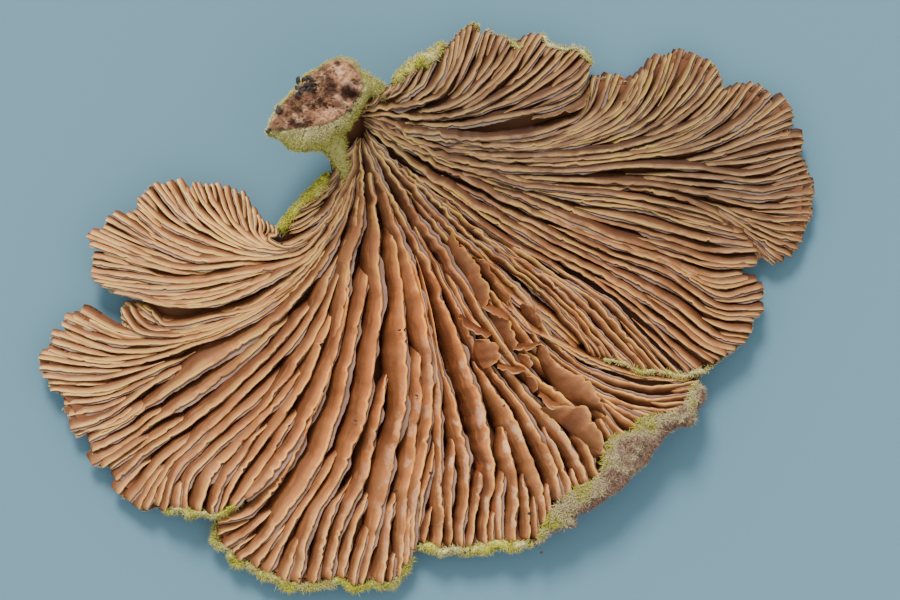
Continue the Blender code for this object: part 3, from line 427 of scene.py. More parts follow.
PALE_SPOTS = [
    (400, 300, 0.05), (340, 400, 0.15), (300, 500, 0.3), (430, 450, 0.15), (520, 420, 0.2),
    (520, 330, 0.15), (600, 300, 0.15), (600, 230, 0.12), (700, 280, 0.2), (700, 190, 0.05),
    (790, 180, 0.1), (640, 110, 0.05), (720, 90, 0.15), (480, 80, 0.1), (560, 80, 0.1),
    (230, 400, 0.3), (120, 370, 0.5), (60, 370, 0.8), (120, 460, 0.5), (160, 250, 0.6),
    (110, 230, 0.8), (220, 200, 0.95), (240, 230, 0.9), (310, 210, 0.25), (650, 380, 0.3),
    (250, 320, 0.4), (330, 570, 0.4), (440, 540, 0.35), (70, 330, 0.75), (160, 500, 0.5),
    (480, 160, -0.05), (380, 180, 0.1),
]
ALGAE_SPOTS = [
    (360, 200, 0.35), (400, 300, 0.0), (300, 450, 0.0), (500, 170, 0.3), (650, 170, 0.45),
    (700, 120, 0.3), (480, 80, 0.15), (420, 90, 0.3), (200, 270, 0.6), (240, 240, 0.55),
    (230, 340, 0.6), (120, 380, 0.5), (100, 460, 0.2), (520, 260, 0.7), (600, 300, 0.3),
    (700, 290, 0.2), (760, 180, 0.15), (500, 450, 0.0), (650, 390, 0.4), (150, 210, 0.3),
    (330, 570, 0.2), (310, 220, 0.5), (690, 110, 0.6), (440, 200, 0.6), (560, 110, 0.4),
]
FRILL_SPOTS = [
    (366, 160, 1.0), (420, 200, 0.9), (470, 230, 0.9), (520, 290, 0.7), (400, 300, 0.35), (340, 400, 0.3),
    (300, 500, 0.3), (430, 450, 0.45), (520, 420, 0.6), (560, 400, 0.5), (520, 190, 0.5), (600, 230, 0.25),
    (600, 300, 0.5), (700, 280, 0.3), (640, 110, 0.15), (790, 180, 0.3), (480, 80, 0.15), (230, 400, 0.2),
    (120, 370, 0.25), (160, 250, 0.25), (310, 210, 0.5), (250, 320, 0.3), (120, 460, 0.4), (650, 390, 0.4),
]
BLOOM_SPOTS = [
    (430, 450, 0.9), (425, 500, 0.7), (460, 420, 0.8), (482, 410, 0.8), (510, 440, 1.0),
    (525, 470, 0.9), (535, 410, 0.6), (400, 380, 0.1), (350, 450, 0.05), (300, 480, 0.1),
    (450, 250, 0.2), (560, 420, 0.4), (480, 520, 0.5), (390, 540, 0.4), (600, 300, 0.25),
    (200, 400, 0.1), (150, 250, 0.15), (650, 150, 0.1), (700, 280, 0.15), (480, 80, 0.15),
    (510, 330, 0.5), (440, 300, 0.3), (250, 540, 0.2),
]


def smooth(edge0, edge1, value):
    u = np.clip((np.asarray(value, float) - edge0) / (edge1 - edge0), 0.0, 1.0)
    return u * u * (3.0 - 2.0 * u)


def unit(ways):
    """The same directions at length one."""
    return ways / np.maximum(np.linalg.norm(ways, axis=-1)[..., None], 1e-12)


def run_along(points):
    """How far along the line each of its points lies."""
    return np.concatenate([[0.0], np.cumsum(np.linalg.norm(np.diff(points, axis=0), axis=1))])


def path_length(path):
    """Length in millimetres of a path given in pixels."""
    return np.linalg.norm(np.diff(np.array(path, float), axis=0), axis=1).sum() * PIXEL_MM


def noise_at(points, scale=1.0):
    """Smooth noise at each of the points, about -1 to 1."""
    values = [noise.noise(Vector(p) * scale) for p in points.reshape(-1, 3)]
    return np.array(values).reshape(points.shape[:-1])


def curve(points, count):
    """Points evenly spaced along a smooth curve through the given ones."""
    p = np.array(points, float)
    knots = np.concatenate([[0.0], np.cumsum(np.sqrt(np.linalg.norm(np.diff(p, axis=0), axis=1)))])
    slope = np.diff(p, axis=0) / np.diff(knots)[:, None]
    tangent = np.vstack([slope[:1], slope[:-1], slope[-1:]])
    for i in range(1, len(p) - 1):
        before = knots[i] - knots[i - 1]
        after = knots[i + 1] - knots[i]
        tangent[i] = (slope[i - 1] * after + slope[i] * before) / (before + after)
    at = np.linspace(0.0, knots[-1], count * 4)
    k = np.clip(np.searchsorted(knots, at, side="right") - 1, 0, len(p) - 2)
    h = np.diff(knots)[k][:, None]
    u = ((at - knots[k])[:, None]) / h
    fine = (2 * u**3 - 3 * u**2 + 1) * p[k] + (u**3 - 2 * u**2 + u) * h * tangent[k]
    fine = fine + (3 * u**2 - 2 * u**3) * p[k + 1] + (u**3 - u**2) * h * tangent[k + 1]
    run = run_along(fine)
    even = np.linspace(0.0, run[-1], count)
    return np.stack([np.interp(even, run, fine[:, j]) for j in range(p.shape[1])], axis=1)


class Plate:
    """A smooth surface through a few chosen spots, like a bent thin plate."""

    def __init__(self, spots):
        s = np.array(spots, float)
        self.places = s[:, :2] / 100.0
        n = len(s)
        system = np.zeros((n + 3, n + 3))
        system[:n, :n] = self.kernel(self.places)
        system[:n, :n] += np.eye(n) * 0.02
        system[:n, n] = 1.0
        system[:n, n + 1 :] = self.places
        system[n:, :n] = system[:n, n:].T
        self.weights = np.linalg.solve(system, np.concatenate([s[:, 2], np.zeros(3)]))

    def kernel(self, where):
        gap = np.linalg.norm(where[:, None, :] - self.places[None, :, :], axis=2)
        return gap**2 * np.log(np.maximum(gap, 1e-9))

    def __call__(self, xy):
        where = np.atleast_2d(np.asarray(xy, float)) / 100.0
        terms = np.hstack([self.kernel(where), np.ones((len(where), 1)), where])
        return terms @ self.weights


BACK = Plate(BACK_HEIGHTS)
BODY = Plate(BODY_HEIGHTS)
WARM = Plate(WARM_SPOTS)
PALE = Plate(PALE_SPOTS)
ALGAE = Plate(ALGAE_SPOTS)
BLOOM = Plate(BLOOM_SPOTS)
FRILL = Plate(FRILL_SPOTS)


def back_height(xy):
    return np.maximum(0.0, BACK(xy))


def world(xy, z):
    """Pixels and millimetres to metres in the row frame."""
    xy = np.atleast_2d(xy)
    x = (xy[:, 0] - (PIXEL_LEFT + PIXEL_RIGHT) / 2.0) * PIXEL_MM
    y = ((PIXEL_TOP + PIXEL_BOTTOM) / 2.0 - xy[:, 1]) * PIXEL_MM
    return np.stack([x, y, np.broadcast_to(z, x.shape)], axis=1) / 1000.0


class Lobe:
    """One lobe's gill paths: across runs over the paths, along from the hub to the margin."""

    SAMPLES = 61

    def __init__(self, name, first_index, path_total):
        self.name = name
        paths = []
        for i, points in enumerate(GUIDES[name]):
            share = (first_index + i) / (path_total - 1)
            angle = math.radians(HUB_FIRST_DEG + (HUB_LAST_DEG - HUB_FIRST_DEG) * share)
            start = (HUB[0] + HUB_RADII[0] * math.cos(angle), HUB[1] - HUB_RADII[1] * math.sin(angle))
            paths.append(curve([start, *points], self.SAMPLES))
        self.paths = np.array(paths)
        self.last = len(paths) - 1
        self.margin = np.array(MARGINS[name], float)
        self.margin_run = run_along(self.margin)
        fine = np.linspace(0.0, self.margin_run[-1], 900)
        edge = self.margin_place(fine)
        self.margin_at = [
            float(fine[np.argmin(((edge - path[-1]) ** 2).sum(axis=1))]) for path in self.paths
        ]
        self.margin_at[0] = 0.0
        self.margin_at[-1] = self.margin_run[-1]
        for i in range(1, self.last):
            self.margin_at[i] = max(self.margin_at[i], self.margin_at[i - 1] + 2.0)

    def margin_place(self, run):
        return np.stack([np.interp(run, self.margin_run, self.margin[:, j]) for j in (0, 1)], axis=-1)

    def flow(self, across, along):
        across, along = np.broadcast_arrays(np.asarray(across, float), np.asarray(along, float))
        i = np.clip(across.astype(int), 0, self.last - 1)
        along = along * (self.SAMPLES - 1)
        k = np.clip(along.astype(int), 0, self.SAMPLES - 2)
        u = (across - i)[..., None]
        v = (along - k)[..., None]
        near = self.paths[i, k] * (1 - v) + self.paths[i, k + 1] * v
        far = self.paths[i + 1, k] * (1 - v) + self.paths[i + 1, k + 1] * v
        return near * (1 - u) + far * u

    def place(self, across, along):
        """A place in the plan, drawn out near its end so that it meets the free margin."""
        here = self.flow(across, along)
        run = np.interp(across, range(self.last + 1), self.margin_at)
        pull = smooth(0.72, 1.0, along)[..., None]
        return here + (self.margin_place(run) - self.flow(across, 1.0)) * pull

    def lift(self, across, along):
        """How far the lobe is raised over its neighbours."""
        side = np.asarray(across, float) / self.last
        across = np.asarray(across, float)
        if self.name == "top":
            return 0.4 * smooth(0.3, 0.7, along) * (0.3 + 0.7 * side)
        if self.name == "upper_right":
            under = smooth(0.4, 0.75, along)
            return -0.2 * under * (1.0 - smooth(0.0, 0.15, side) + smooth(0.8, 1.0, side))
        if self.name == "right":
            return 0.4 * smooth(0.35, 0.75, along)
        if self.name == "lower_right":
            return -0.15 * smooth(0.5, 0.8, along) * (1.0 - smooth(0.0, 0.12, side))
        if self.name == "lower_left":
            flap = 0.35 * smooth(0.8, 0.92, along) * (1.0 - smooth(1.2, 2.2, across))
            over_foot = 0.25 * smooth(0.4, 0.75, along) * (1.0 - smooth(0.0, 0.5, side))
            under_left = -0.25 * smooth(0.4, 0.7, along) * smooth(0.85, 1.0, side)
            return flap + over_foot + under_left
        if self.name == "upper_left":
            return smooth(0.35, 0.7, along) * (0.45 - 0.3 * side)
        return 0.0 * side * along

    def heights(self, across, along, xy):
        """Back, foot of the gills and crest of the gills, in millimetres."""
        back = back_height(xy)
        body = BODY(xy)
        crest = back + body + self.lift(across, along)
        return back, crest - GILL_SHARE * body, crest


def make_lobes():
    total = sum(len(paths) for paths in GUIDES.values())
    lobes = []
    first = 0
    for name, paths in GUIDES.items():
        lobes.append(Lobe(name, first, total))
        first += len(paths)
    return lobes


def inside(polygon, xy):
    """Which of the places lie inside the polygon."""
    p = np.asarray(polygon, float)
    q = np.roll(p, -1, axis=0)
    x, y = xy[:, 0][:, None], xy[:, 1][:, None]
    spans = (p[:, 1] > y) != (q[:, 1] > y)
    rise = np.where(q[:, 1] == p[:, 1], 1e-9, q[:, 1] - p[:, 1])
    hit = x < p[:, 0] + (y - p[:, 1]) * (q[:, 0] - p[:, 0]) / rise
    return (spans & hit).sum(axis=1) % 2 == 1


RIM_AREA = [tuple(map(float, p)) for p in RIM_FOOT + MARGINS["lower_right"][20::-1]]


class Build:
    """Gathers the vertices, faces and per-vertex values of one piece."""

    def __init__(self, *values):
        self.points = []
        self.faces = []
        self.values = {name: [] for name in values}
        self.count = 0

    def add(self, points, faces, **values):
        shift = self.count
        self.points.append(points)
        self.faces += [[v + shift for v in face] for face in faces]
        for name, stack in self.values.items():
            stack.append(np.broadcast_to(values.get(name, 0.0), (len(points),)))
        self.count += len(points)

    def make(self, name, material, round_deg=60.0):
        mesh = bpy.data.meshes.new(name)
        mesh.from_pydata(np.concatenate(self.points), [], self.faces)
        for key, stack in self.values.items():
            layer = mesh.attributes.new(key, "FLOAT", "POINT")
            layer.data.foreach_set("value", np.concatenate(stack).astype(np.float32))
        mesh.materials.append(material)
        mesh.shade_smooth()
        mesh.set_sharp_from_angle(angle=math.radians(round_deg))
        piece = bpy.data.objects.new(name, mesh)
        bpy.context.scene.collection.objects.link(piece)
        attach(piece, "root")
        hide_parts("fruit_body")
        return piece


def grid_faces(rows, columns, first=0, closed=False, flip=False):
    faces = []
    last = columns if closed else columns - 1
    for r in range(rows - 1):
        for c in range(last):
            a = first + r * columns + c
            b = first + r * columns + (c + 1) % columns
            quad = [a, b, b + columns, a + columns]
            faces.append(quad[::-1] if flip else quad)
    return faces


def wander(rng, run, period):
    """Smooth random values along a run of millimetres, about -1 to 1."""
    total = np.zeros_like(run)
    size = 1.0
    for _ in range(2):
        knots = np.arange(-1, int(run[-1] / period) + 4)
        values = rng.uniform(-1.0, 1.0, len(knots))
        at = run / period + rng.uniform(0.0, 1.0)
        k = np.floor(at).astype(int)
        u = at - k
        u = u * u * (3.0 - 2.0 * u)
        total += size * (values[k + 1] * (1 - u) + values[k + 2] * u)
        size *= 0.5
        period *= 0.45
    return total


def add_flesh(build, lobe):
    """The thin sheet of one lobe: gill side, felted back and the wall between."""
    rows = FLESH_ROWS
    columns = lobe.last * FLESH_COLUMNS + 1
    across, along = np.meshgrid(np.linspace(0.0, lobe.last, columns), np.linspace(0.0, 1.0, rows))
    across, along = across.ravel(), along.ravel()
    xy = lobe.place(across, along * (1.0 - 0.025 * smooth(0.85, 1.0, along)))
    back, foot, _ = lobe.heights(across, along, xy)
    edge = smooth(0.93, 1.0, along)
    low = back + FELT_MM * 0.6 + 0.03
    high = np.maximum(foot, low + THIN_FLESH_MM)
    low = low + 0.1 * edge
    high = high * (1 - edge) + (low + np.maximum(THIN_FLESH_MM, BODY(xy) * 0.25)) * edge
    count = rows * columns
    faces = grid_faces(rows, columns, flip=True) + grid_faces(rows, columns, first=count)
    ring = list(range(columns))
    ring += [r * columns + columns - 1 for r in range(1, rows)]
    ring += [(rows - 1) * columns + c for c in range(columns - 2, -1, -1)]
    ring += [r * columns for r in range(rows - 2, 0, -1)]
    faces += [[a, b, b + count, a + count] for a, b in zip(ring, ring[1:] + ring[:1])]
    build.add(
        np.vstack([world(xy, high), world(xy, low)]),
        faces,
        crest=np.repeat([0.05, 0.3], count),
        back=np.repeat([0.0, 1.0], count),
    )


def outline():
    """The cap in plan, clockwise as seen from above, drawn in under the stub to stay hidden in it."""
    under_stub = STUB_CENTRE + 0.45 * (np.array(STUB_OUTLINE) - STUB_CENTRE)
    parts = [
        MARGINS["top"], MARGINS["upper_right"], MARGINS["right"][7:26], MARGINS["lower_right"],
        MARGINS["foot"], MARGINS["lower_left"][4:76], MARGINS["upper_left"], MARGINS["neck"],
        under_stub,
    ]
    return np.array([point for part in parts for point in part], float)


def underlay_plan():
    """The underlay's places, its triangles, and how many of the places are its outline."""
    line = outline()
    line = line - outward(line) * UNDERLAY_INSET
    step = UNDERLAY_STEP
    xs, ys = np.meshgrid(np.arange(40, 815, step), np.arange(60, 592, step))
    spots = np.stack([xs.ravel() + (ys.ravel() // step % 2) * step / 2, ys.ravel()], axis=1)
    spots = spots[inside(line, spots)]
    near = np.array([np.linalg.norm(spot - line, axis=1).min() for spot in spots])
    plan = np.concatenate([line, spots[near > UNDERLAY_BORDER]])
    ring = [(k, (k + 1) % len(line)) for k in range(len(line))]
    found = geometry.delaunay_2d_cdt([Vector(p) for p in plan], ring, [], 0, 1e-4)
    places = np.array([tuple(v) for v in found[0]])
    middles = np.array([places[list(face)].mean(axis=0) for face in found[2]])
    faces = [list(face) for face, good in zip(found[2], inside(line, middles)) if good]
    shape = places[np.array(faces)]
    turn = np.cross(shape[:, 1] - shape[:, 0], shape[:, 2] - shape[:, 0])
    return places, [face[::-1] if way > 0 else face for face, way in zip(faces, turn)], len(line)


def add_underlay(build):
    """The sheet of flesh that runs on under all the lobes where they overlap."""
    places, faces, border = underlay_plan()
    count = len(places)
    edge = (np.arange(count) < border).astype(float)
    back = back_height(places)
    low = back + 0.16 + 0.06 * edge
    high = np.maximum(low + 0.12, back + (0.92 - GILL_SHARE) * BODY(places) - 0.05) - 0.1 * edge
    high = np.maximum(high, low + 0.1)
    sides = dict.fromkeys((a, b) for face in faces for a, b in zip(face, face[1:] + face[:1]))
    walls = [[b, a, a + count, b + count] for a, b in sides if (b, a) not in sides]
    build.add(
        np.vstack([world(places, high), world(places, low)]),
        faces + [[v + count for v in face[::-1]] for face in faces] + walls,
        crest=np.repeat([0.1, 0.3], count),
        back=np.repeat([0.0, 1.0], count),
    )


def gill_starts(lobe, rng):
    """Where each gill runs: (across, along where it starts), longest ones first on the paths."""
    steps = np.concatenate([np.linspace(0.002, 0.05, 16), np.linspace(0.06, 0.98, 96)])
    many = len(steps)
    lines = [lobe.place(np.full(many, float(i)), steps) for i in range(lobe.last + 1)]
    found = []
    for i in range(lobe.last + 1):
        reach = 2 if i % 4 == 2 else 1
        others = [j for j in (i - reach, i + reach) if 0 <= j <= lobe.last and i % 4]
        room = [np.linalg.norm(lines[i] - lines[j], axis=1) for j in others]
        clear = np.min(room, axis=0) > 5.2 * rng.uniform(0.8, 1.2) if room else np.ones(many, bool)
        first = float(steps[np.argmax(clear)]) if clear.any() else 0.9
        found.append((float(i), first + 0.006 * rng.random()))

    def split(left, right):
        first = max(left[1], right[1]) + 0.012
        gap = np.linalg.norm(
            lobe.place(np.full(many, left[0]), steps) - lobe.place(np.full(many, right[0]), steps), axis=1
        )
        middle = (left[0] + right[0]) / 2.0
        crowd = 1.0 - (1.0 - CROWDED[lobe.name]) * smooth(0.72, 0.96, steps)
        room = np.interp(middle, *SPACING[lobe.name]) * rng.uniform(0.85, 1.2) * crowd
        open_at = np.nonzero((gap > room) & (steps > first))[0]
        if not len(open_at):
            return
        share = rng.uniform(0.42, 0.58)
        early = rng.uniform(0.03, 0.07) * smooth(0.2, 0.6, steps[open_at[0]])
        start = max(first, float(steps[open_at[0]]) - early)
        new = (left[0] * share + right[0] * (1 - share), start)
        found.append(new)
        split(left, new)
        split(new, right)

    base = sorted(found)
    for left, right in zip(base, base[1:]):
        split(left, right)
    return sorted(found)


def gaps_beside(lobe, gills, steps):
    """Space from each gill to the next one on either side at each step, in millimetres.

    A gill that has just started takes its share of the space little by little.
    """
    spots = np.array([lobe.place(np.full(len(steps), across), steps) for across, _ in gills])
    starts = np.array([start for _, start in gills])
    pace = np.linalg.norm(np.diff(spots, axis=1), axis=2)
    run = np.concatenate([np.zeros((len(gills), 1)), np.cumsum(pace, axis=1)], axis=1) * PIXEL_MM
    begun = np.array([np.interp(start, steps, row) for start, row in zip(starts, run)])
    pace_in = np.minimum(GROW_MM, 0.4 * (run[:, -1] - begun))
    grown = smooth(0.0, 1.0, (run - begun[:, None]) / np.maximum(pace_in, 0.1)[:, None])
    spaces = []
    for way in (-1, 1):
        space = np.zeros((len(gills), len(steps)))
        for n in range(len(gills)):
            left = np.ones(len(steps))
            m = n + way
            while 0 <= m < len(gills) and left.max() > 0.01:
                gap = np.linalg.norm(spots[n] - spots[m], axis=1)
                space[n] += left * grown[m] * gap
                left = left * (1.0 - grown[m])
                m += way
            space[n] = np.where(left > 0.98, np.nan, space[n] / np.maximum(1.0 - left, 0.02))
        spaces.append(space)
    before, after = spaces
    before = np.where(np.isnan(before), np.where(np.isnan(after), 10.0, after), before)
    after = np.where(np.isnan(after), before, after)
    return before * PIXEL_MM, after * PIXEL_MM


def soft(values, width=2):
    kernel = np.ones(2 * width + 1) / (2 * width + 1)
    return np.convolve(np.pad(values, width, mode="edge"), kernel, mode="valid")


def nicks(rng, at, often, keen):
    """Small bites out of a free edge, as shares of the deepest one along a run of millimetres."""
    bite = np.zeros_like(at)
    for _ in range(rng.poisson(at[-1] * float(np.mean(often)))):
        spot = rng.uniform(0.03, 0.99) * at[-1]
        size = rng.uniform(0.25, 1.0)
        wide = rng.uniform(0.5, 1.6) * keen
        side = rng.uniform(0.3, 3.0)
        left = np.exp(-np.abs((at - spot) / (wide * side)) ** 1.5) * (at < spot)
        right = np.exp(-np.abs((at - spot) / wide) ** 1.5) * (at >= spot)
        bite = np.maximum(bite, size * (left + right))
    return bite


def edge_wear(rng, at, face, torn):
    """How far the free edge is bitten and frayed away, in millimetres."""
    fine = np.minimum(1.0, face / 0.4)
    bite = nicks(rng, at, 0.3 + 0.45 * torn, 0.07) * (0.05 + 0.13 * torn) * fine
    fray = (np.abs(rng.normal(0.0, 0.013, len(at))) + np.abs(wander(rng, at, 0.8)) * 0.03) * fine
    fray = fray * (0.35 + 0.65 * smooth(-0.2, 0.5, wander(rng, at, 2.0)))
    return bite + fray * (0.6 + torn)


def split_width(rng, at, face):
    """Width of the other half of the split edge, which comes and goes along the gill."""
    here = smooth(-0.25, 0.35, wander(rng, at, 2.2) + rng.uniform(-0.3, 0.45))
    half = (0.05 + np.clip(0.10 * face, 0.01, 0.12)) * (1.0 + 0.35 * wander(rng, at, 0.9)) * here
    return half * np.minimum(1.0, face / 0.3) + 0.5 * np.abs(wander(rng, at, 0.35)) * 0.06 * here


def face_rows(face, tall, rib, lip, worn, swell, ripple):
    """A gill's broad side from its foot up: sideways place, height, crest value, other half.

    Each row mixes a broad face and a narrow rib, whose own rows are the sideways share of the
    face, the drop as a share of its depth, and the crest value.
    """
    flat = np.zeros(len(face))
    depth = np.minimum(np.clip(0.95 * face, 0.2, 1.2), tall * 0.95)
    wide = np.clip(0.25 / face, 0.3, 0.8)
    # The last value of each face row is its crest value: low ones get painted shade, high ones painted
    # light.
    broad = [
        (1.0, 1.0, 0.05), (0.84, 0.62, 0.26), (0.59, 0.31, 0.55), (0.38, 0.14, 0.72), (0.18, 0.04, 0.86),
    ]
    ribbed = [
        (1.0, 0.72, 0.10), (1.05 * wide + 0.45 * (1.0 - 1.05 * wide), 0.60, 0.28), (1.05 * wide, 0.42, 0.45),
        (0.80 * wide, 0.17, 0.76), (0.40 * wide, 0.03, 0.90),
    ]
    swells = (0.0, 0.3, 0.9, 0.8, 0.35)
    ripples = (0.0, 0.5, 1.0, 1.0, 1.0)
    rows = [(0.88 * face, 0.0 * tall, flat, 0.0)]
    for one, other, share, wave in zip(broad, ribbed, swells, ripples):
        side, drop, shade = [a * (1.0 - rib) + b * rib for a, b in zip(one, other)]
        height = tall - drop * depth + share * swell + wave * ripple
        rows.append((side * face, height, shade + flat, 0.0))
    side, *rest = rows[-1]
    rows[-1] = (np.maximum(side + worn, 1.2 * lip + worn), *rest)
    return rows


def edge_rows(face, tall, lip, worn, half, bow, even):
    """A gill's free edge, the other half beside it and its back foot, in rows like the face's."""
    low = tall - np.clip(0.16 * face, 0.05, 0.14)
    return [
        (0.35 * lip + worn, tall + bow * 0.12, 1.0, 0.0),
        (-0.2 * lip + worn, tall - 0.15 * lip + bow * 0.12, 1.0, 0.0),
        (-0.55 * lip + worn, tall - 0.9 * lip + bow * 0.06, 0.95, 0.25),
        # A low crest value here paints shade into the groove between the two halves.
        (-0.1 * lip - 0.30 * half + worn * 0.5, low - 0.05, 0.3, 0.7),
        (-0.3 * lip - 0.60 * half, low, 0.95, 1.0),
        (-0.5 * lip - 1.05 * half, low - 0.03, 0.85, 1.0),
        (-0.4 * lip - 0.95 * half, low - 0.10, 0.5, 1.0),
        ((1.0 - even) * 0.34 * face - even * 0.45 * face, 0.0 * tall, 0.0, 0.3),
    ]


def plate_rings(centre, face_way, foot, tall, face, even, rib, rng, at, torn, curl):
    """Rings of points round one gill, with their crest and other-half values.

    The face falls away from the free edge toward face_way over the width 'face'. 'even' is 1 for
    an upright gill with two like sides and 0 for one that lies over like a shingle. 'rib' is 1
    where only a narrow rib stands up beside a sunken face.
    """
    lip = np.clip((0.10 + 0.07 * rib) * face, 0.026, 0.075) * (1.0 + 0.3 * wander(rng, at, 0.5))
    swell = wander(rng, at, 1.5) * 0.06 * face
    ripple = wander(rng, at, 0.9) * 0.02 * np.minimum(face, 0.7)
    worn = edge_wear(rng, at, face, torn)
    half = split_width(rng, at, face)
    rows = face_rows(face, tall, rib, lip, worn, swell, ripple)
    rows += edge_rows(face, tall, lip, worn, half, curl * face, even)
    rings = []
    for side, height, _, _ in rows:
        xy = centre + face_way * (side / PIXEL_MM)[:, None]
        z = np.maximum(foot - 0.05 + np.maximum(height, 0.0), back_height(xy) + 0.22)
        rings.append(world(xy, z))
    crest, under = [
        np.stack([np.broadcast_to(row[k], at.shape) for row in rows], axis=1) for k in (2, 3)
    ]
    return np.stack(rings, axis=1), crest, under


def close_rings(rings):
    """Faces of a tube through the rings, with both ends shut, facing outwards."""
    count, width = rings.shape[:2]
    faces = grid_faces(count, width, closed=True)
    faces.append(list(range(width))[::-1])
    faces.append([(count - 1) * width + c for c in range(width)])
    middle = count // 2
    a = rings[middle]
    ahead = rings[middle + 1].mean(axis=0) - rings[middle - 1].mean(axis=0)
    spread = a - a.mean(axis=0)
    turn = np.cross(spread, np.roll(spread, -1, axis=0)).sum(axis=0)
    return faces if turn @ ahead > 0 else [face[::-1] for face in faces]


def add_plate(build, plate, at, ident):
    """A closed plate through rings of points, with its values for the gill material."""
    rings, crest, under = plate
    build.add(
        rings.reshape(-1, 3), close_rings(rings), crest=crest.ravel(), under=under.ravel(),
        run=np.repeat(at, rings.shape[1]), ident=float(ident),
    )


def gill_line(lobe, across, start):
    """A gill's rings: millimetres from its start, share of its path and place in the plan."""
    fine = np.linspace(start, 1.0, 160)
    run = run_along(lobe.place(np.full(160, across), fine)) * PIXEL_MM
    total = run[-1] - 0.02 - float(np.interp(across, *SHORT[lobe.name])) * PIXEL_MM
    if total < SHORTEST_GILL_MM:
        return None
    count = max(FEWEST_RINGS, int(total / RING_STEP))
    at = np.linspace(0.0, total, count)
    along = np.interp(at, run, fine)
    centre = lobe.place(np.full(count, across), along)
    in_rim = inside(RIM_AREA, centre)
    if in_rim.any():
        count = int(np.argmax(in_rim)) + 2
        if count < FEWEST_RINGS or count > len(at):
            return None
    return at[:count], along[:count], centre[:count]


def gill_sides(lobe, across, along, centre):
    """The way a gill's face lies, whether that is back round the cap, and how upright it stands."""
    ahead = unit(np.gradient(centre, axis=0))
    aside = np.stack([-ahead[:, 1], ahead[:, 0]], axis=1)
    after = lobe.place(np.full(len(along), min(across + 0.05, lobe.last)), along)
    before = lobe.place(np.full(len(along), max(across - 0.05, 0.0)), along)
    sign = 1.0 if (aside * (after - before)).sum() >= 0 else -1.0
    lean = float(np.interp(across, *LEAN[lobe.name]))
    toward = -1.0 if lean >= 0 else 1.0
    return aside * sign * toward, toward < 0, 1.0 - min(1.0, abs(lean) / 0.4)


def gill_size(lobe, gap, even, tall, at, late, rng):
    """Width of a gill's face and its height, growing in at the start and falling at the margin."""
    grow = smooth(-0.2, min(GROW_MM, 0.4 * at[-1]) if late else 0.8, at)
    fall = np.sqrt(np.clip((at[-1] - at + 0.02) / 0.35, 0.0, 1.0))
    face = np.clip(gap, 0.08, 1.5) * COVER[lobe.name] * (1.0 - 0.45 * even) * rng.uniform(0.93, 1.07)
    face = face * (0.2 + 0.8 * grow) * (0.72 + 0.28 * fall)
    room = np.clip(1.1 * gap, 0.2, 1.2) if late else 0.5 * tall
    tall = tall - np.minimum(room, 0.8 * tall) * (1.0 - grow)
    tall = tall * (0.55 + 0.45 * fall)
    tall = tall + wander(rng, at, 2.6) * 0.09 + wander(rng, at, 0.9) * 0.02
    tall = tall + (rng.uniform(-0.15, 0.0) if late else rng.uniform(-0.08, 0.08))
    return face, np.maximum(tall, 0.12)


def add_gill(build, lobe, across, start, gaps, rng, ident):
    """One gill of a lobe, from where it starts to the margin, or none where there is no room."""
    line = gill_line(lobe, across, start)
    if line is None:
        return
    at, along, centre = line
    face_way, faces_back, even = gill_sides(lobe, across, along, centre)
    gap, other = [np.interp(along, GAP_STEPS, row) for row in (gaps if faces_back else gaps[::-1])]
    _, foot, crest = lobe.heights(np.full(len(at), across), along, centre)
    face, tall = gill_size(lobe, gap, even, np.maximum(crest - foot, 0.1), at, start > 0.1, rng)
    wide = smooth(0.35, 1.1, gap)
    sway = wander(rng, at, 3.2) * 0.08 + wander(rng, at, 0.9) * 0.012 * (1.0 + wide)
    sway = sway * np.clip(np.minimum(gap, other) / 0.5, 0.1, 1.2) * smooth(0.0, 1.0, at)
    near = 1.0 - smooth(2.0, 7.0, np.linalg.norm(centre - np.array(HUB), axis=1) * PIXEL_MM)
    frill = np.maximum(near, FRILL(centre)) * np.clip(gap / 0.6, 0.12, 1.2)
    ruffle = wander(rng, at, 0.75) * 0.07 + wander(rng, at, 0.33) * 0.05
    sway = sway + frill * ruffle * (1.0 + 0.5 * near)
    tall = tall + frill * wander(rng, at, 0.5) * 0.07
    rib = np.maximum(float(np.interp(across, *RIB[lobe.name])), 0.85 * near)
    centre = centre + face_way * (sway / PIXEL_MM)[:, None]
    torn = 0.25 + 0.75 * wide
    curl = rng.uniform(-0.3, 0.8)
    plate = plate_rings(centre, face_way, foot, tall, face, even, rib, rng, at, torn, curl)
    add_plate(build, plate, at, ident)


def add_gills(build, lobe, seed):
    rng = np.random.default_rng(seed)
    gills = gill_starts(lobe, rng)
    before, after = gaps_beside(lobe, gills, GAP_STEPS)
    for n, (across, start) in enumerate(gills):
        gaps = (soft(before[n]), soft(after[n]))
        add_gill(build, lobe, across, start, gaps, rng, n + seed * 100)


